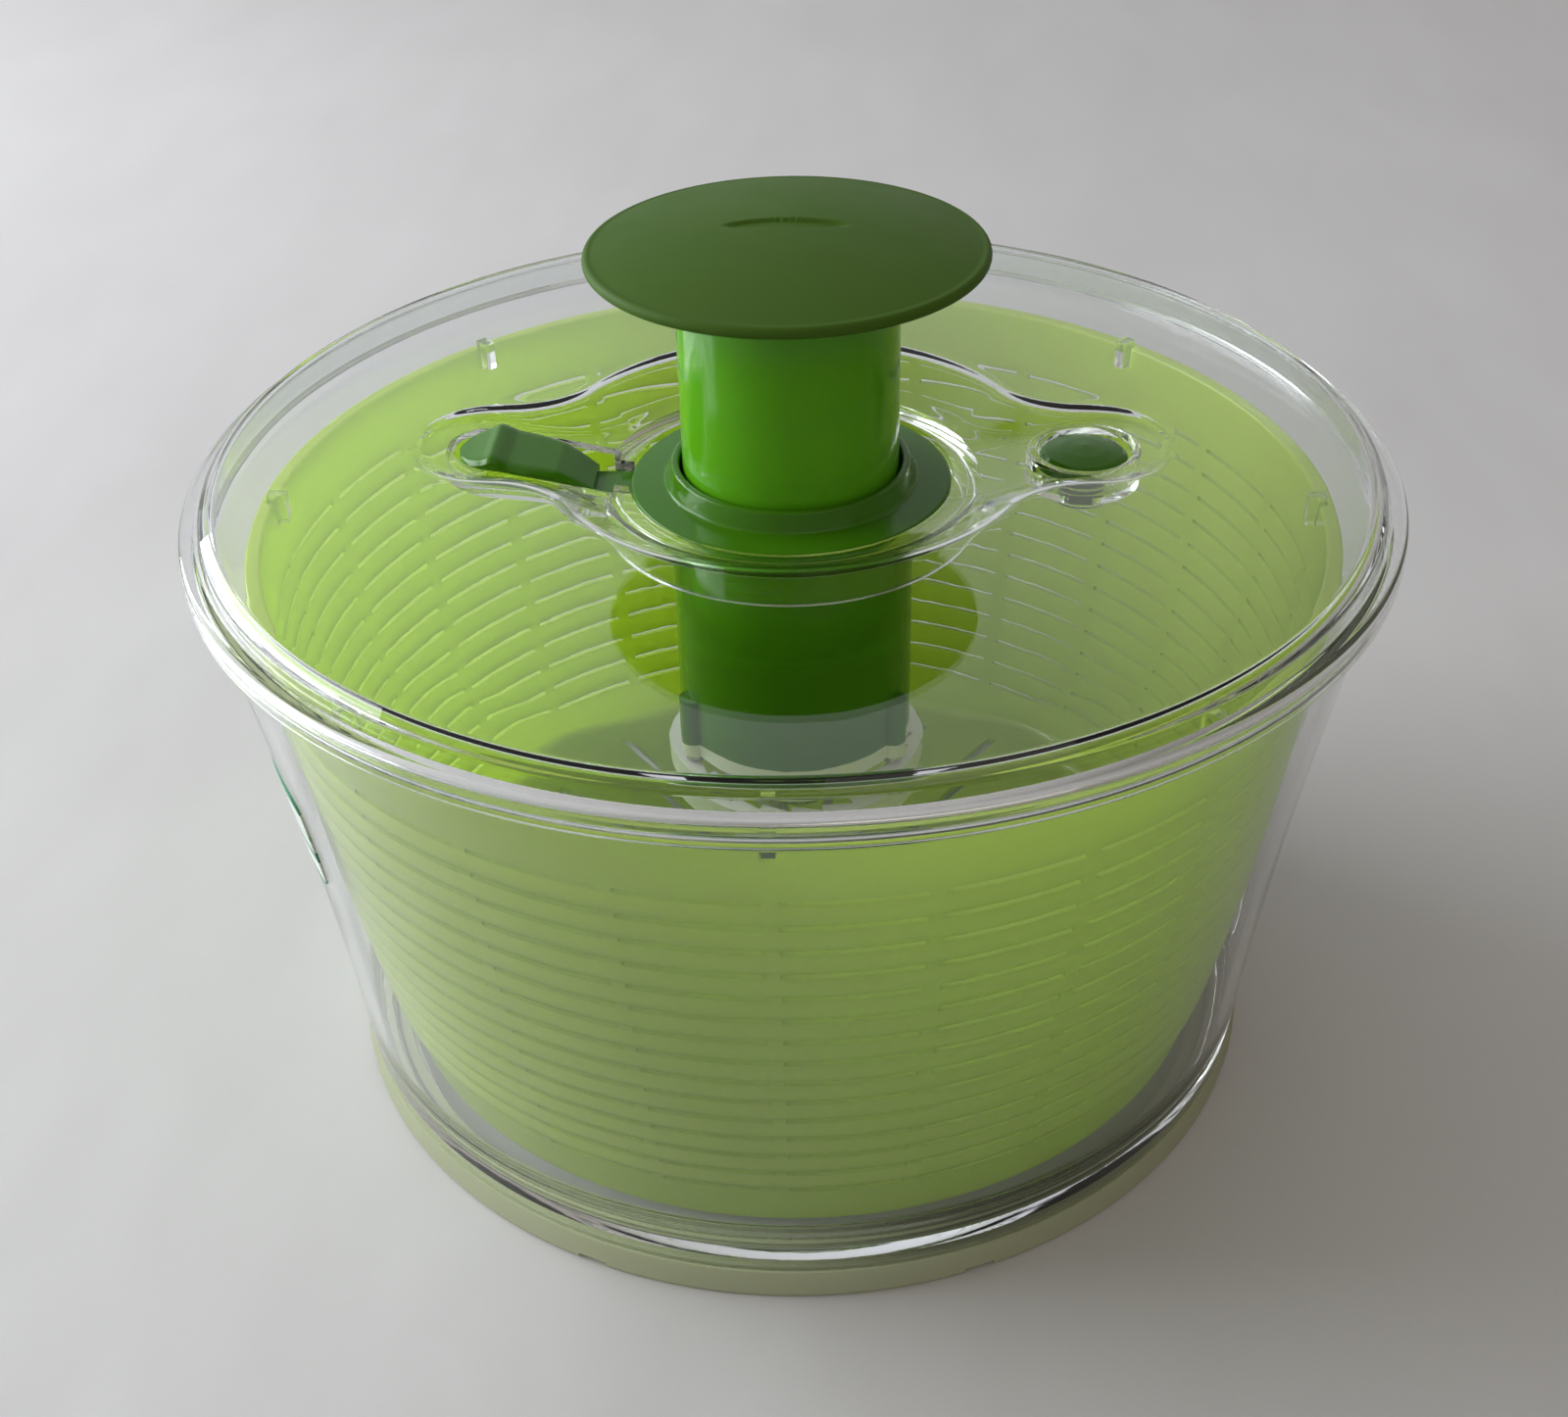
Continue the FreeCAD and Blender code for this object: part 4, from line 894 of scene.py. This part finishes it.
def make_slider():
    """Rounded pad with a finger ridge that falls to a flat neck under the bezel."""
    end_x, neck_x = SLIDER_LOW[0], -44.0
    tip_x = SLIDER_HIGH[0]
    under = [(end_x, 144.8), (-52.0, 142.4), (-47.0, 138.0), (neck_x, 138.0)]
    ridge = [(end_x, 148.6), (-71.0, 149.2), (-67.6, 150.1), (-65.8, 150.9), (-64.4, 150.4), (-62.0, 149.1),
             (-57.0, 148.0), (-51.5, 146.6), (-48.0, 144.6), (neck_x, 141.6)]
    xs = np.array([p[0] for p in ridge])
    zs = np.array([p[1] for p in ridge])
    stations = np.concatenate([np.linspace(end_x, end_x + 8.8, 22), np.linspace(end_x + 9.4, neck_x, 60)])
    across = 28
    verts, faces = [], []
    kernel = np.exp(-0.5 * (np.arange(-20, 21) * 0.05 / 0.3) ** 2)
    fine = np.arange(end_x - 2, neck_x + 2, 0.05)
    smooth = np.convolve(np.pad(np.interp(fine, xs, zs), 20, "edge"), kernel / kernel.sum(), "valid")
    for x in stations:
        s = x - end_x
        width = 9.8 if x < -58 else 9.8 + (7.4 - 9.8) * (x + 58) / 14.0
        if s < 9.3:
            width *= math.sqrt(max(0.0, 1 - ((9.3 - s) / 9.3) ** 2.3))
            width = max(width, 0.4)
        z_top = float(np.interp(x, fine, smooth))
        low = float(np.interp(x, [p[0] for p in under], [p[1] for p in under]))
        for k in range(across):
            t = -1 + 2 * k / (across - 1)
            y = width * math.copysign(abs(t) ** 0.86, t)
            crown = 0.8 * max(0.0, (abs(t) - 0.66) / 0.34) ** 2.2
            verts.append((x, y, z_top - crown))
        verts.append((x, width, low))
        verts.append((x, -width, low))
    per = across + 2
    for i in range(len(stations) - 1):
        a, b = i * per, (i + 1) * per
        for k in range(per):
            m = (k + 1) % per
            faces.append((a + k, a + m, b + m, b + k))
    faces.append(tuple(range(per)))
    last = (len(stations) - 1) * per
    faces.append(tuple(range(last, last + per)))
    slider = solid("slider_pad", verts, faces, 42.0)
    tongue = boxes("slider_tongue", [box_data(neck_x - 2, tip_x, -5.5, 5.5, 137.8, 140.2)])
    combine(slider, tongue, "UNION", 42.0)
    return stand_for(slider, "lock_slider", "lock_slider", "green_gloss", "green_deep")


def make_label():
    """Thin printed film wrapped on the bowl wall, with rounded corners."""
    low, high = corner("bowl_label")[0][2], corner("bowl_label")[1][2]
    line = wall_arc(-0.03, low - 0.3, high + 0.3, 40)
    zs = np.array([p[1] for p in line])
    rs = np.array([p[0] for p in line])
    across, up = 36, 24
    width = LABEL_SPAN * 120.0
    verts, faces = [], []
    for thick in (0.0, 0.28):
        for i in range(up + 1):
            z = low + (high - low) * i / up
            gap = min(z - low, high - z)
            trim = 4.0 - math.sqrt(max(0.0, 16.0 - (4.0 - gap) ** 2)) if gap < 4.0 else 0.0
            r = float(np.interp(z, zs, rs)) + thick
            for k in range(across + 1):
                a = LABEL_START + (trim + (width - 2 * trim) * k / across) / 120.0
                verts.append((r * math.cos(a), r * math.sin(a), z))
    row, sheet = across + 1, (across + 1) * (up + 1)
    for i in range(up):
        for k in range(across):
            q = (i * row + k, i * row + k + 1, (i + 1) * row + k + 1, (i + 1) * row + k)
            faces.append(q[::-1])
            faces.append(tuple(v + sheet for v in q))
    border = [k for k in range(row)] + [i * row + across for i in range(1, up + 1)]
    border += [up * row + k for k in range(across - 1, -1, -1)] + [i * row for i in range(up - 1, 0, -1)]
    for i, v in enumerate(border):
        w = border[(i + 1) % len(border)]
        faces.append((v, w, w + sheet, v + sheet))
    label = solid("label_sheet", verts, faces, 40.0)
    return stand_for(label, "bowl_label", "bowl", "label")


def make_springs():
    low, high = corner("return_spring")
    spring = coil("return_coil", 16.0, 0.7, low[2], high[2], 6.5)
    stand_for(spring, "return_spring", "lid", "steel")
    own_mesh(spring)
    low, high = corner("brake_spring")
    spring = coil("brake_coil", 4.2, 0.3, low[2], high[2], 5.0, BUTTON_X, 8)
    stand_for(spring, "brake_spring", "lid", "steel")
    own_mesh(spring)


make_bowl()
make_basket()
make_lid()
make_disc()
make_knob_plate()
make_knob_grip()
make_button()
make_slider()
make_label()
make_springs()

KEPT = {
    "bowl_foot_ring": "foot_tpe",
    "bezel": "green_gloss",
    "plunger": "green_gloss",
    "knob_screws": "steel",
    "mechanism_base": "white_acetal",
    "base_screws": "steel",
    "screw_bush": "white_acetal",
    "thrust_washer": "white_acetal",
    "drive_nut": "white_acetal",
    "drive_screw": "steel",
    "clutch_hub": "white_acetal",
    "ratchet_ring": "white_acetal",
    "disc_retainer": "steel",
    "brake_pad": "pad_rubber",
}
for node, slot in KEPT.items():
    dress(NODES[node], slot, "green_deep" if node == "bezel" else None)


# ---- floor, light and camera --------------------------------------------------------------

def make_stage():
    size = 3.2
    mesh = bpy.data.meshes.new("floor")
    corners = [(-size, -size, 0), (size, -size, 0), (size, size, 0), (-size, size, 0)]
    mesh.from_pydata(corners, [], [(0, 1, 2, 3)])
    floor = bpy.data.objects.new("floor", mesh)
    bpy.context.scene.collection.objects.link(floor)
    floor.data.materials.append(paper("floor_paper"))


def area_light(name, place, target, size, power, colour):
    lamp = bpy.data.lights.new(name, "AREA")
    lamp.shape = "RECTANGLE"
    lamp.size, lamp.size_y = size
    lamp.energy = power
    lamp.color = colour
    obj = bpy.data.objects.new(name, lamp)
    obj.location = place
    obj.rotation_euler = (Vector(target) - Vector(place)).to_track_quat("-Z", "Y").to_euler()
    bpy.context.scene.collection.objects.link(obj)
    return obj


make_stage()
def make_room():
    """Room light that falls from a cool bright side, at the back left, to a warm dim one."""
    world = bpy.data.worlds.new("room_glow")
    bpy.context.scene.world = world
    world.use_nodes = True
    tree = world.node_tree
    place = tree.nodes.new("ShaderNodeTexCoord")
    side = tree.nodes.new("ShaderNodeVectorMath")
    side.operation = "DOT_PRODUCT"
    side.inputs[1].default_value = (-0.84, 0.53, -0.10)
    tree.links.new(place.outputs["Generated"], side.inputs[0])
    share = tree.nodes.new("ShaderNodeMapRange")
    share.inputs["From Min"].default_value = -1.0
    tree.links.new(side.outputs["Value"], share.inputs["Value"])
    ramp = tree.nodes.new("ShaderNodeValToRGB")
    stops = ramp.color_ramp.elements
    stops[0].position, stops[0].color = 0.0, (0.25, 0.205, 0.175, 1)
    stops[1].position, stops[1].color = 1.0, (0.90, 0.93, 1.0, 1)
    for position, colour in ((0.40, (0.34, 0.31, 0.285, 1)), (0.65, (0.50, 0.50, 0.51, 1))):
        stops.new(position).color = colour
    tree.links.new(share.outputs["Result"], ramp.inputs["Fac"])
    glow = tree.nodes["Background"]
    tree.links.new(ramp.outputs["Color"], glow.inputs["Color"])
    glow.inputs["Strength"].default_value = 1.0


make_room()
area_light("window", (-1.30, 0.35, 0.62), (0.0, 0.0, 0.10), (1.3, 1.0), 27.0, (0.92, 0.95, 1.0))
area_light("room", (0.7, -1.2, 1.5), (0.0, 0.0, 0.10), (1.6, 1.2), 3.0, (1.0, 0.96, 0.90))

camera_data = bpy.data.cameras.new("camera")
camera_data.lens = 46.48
camera_data.sensor_width = 36.0
camera_data.clip_start, camera_data.clip_end = 0.02, 20.0
camera = bpy.data.objects.new("camera", camera_data)
bpy.context.scene.collection.objects.link(camera)
camera.matrix_world = (Matrix.Rotation(math.radians(3.0), 4, "Z")
                       @ Matrix.Translation((-0.00281, -0.4038, 0.3545))
                       @ Matrix.Rotation(math.radians(55.684), 4, "X")
                       @ Matrix.Rotation(-0.02354, 4, "Z"))
bpy.context.scene.camera = camera
bpy.context.scene.view_settings.view_transform = "Standard"

# clear walls stand one behind another, so light needs many turns before it comes out
cycles = bpy.context.scene.cycles
cycles.max_bounces = 32
cycles.transmission_bounces = 32
cycles.glossy_bounces = 32
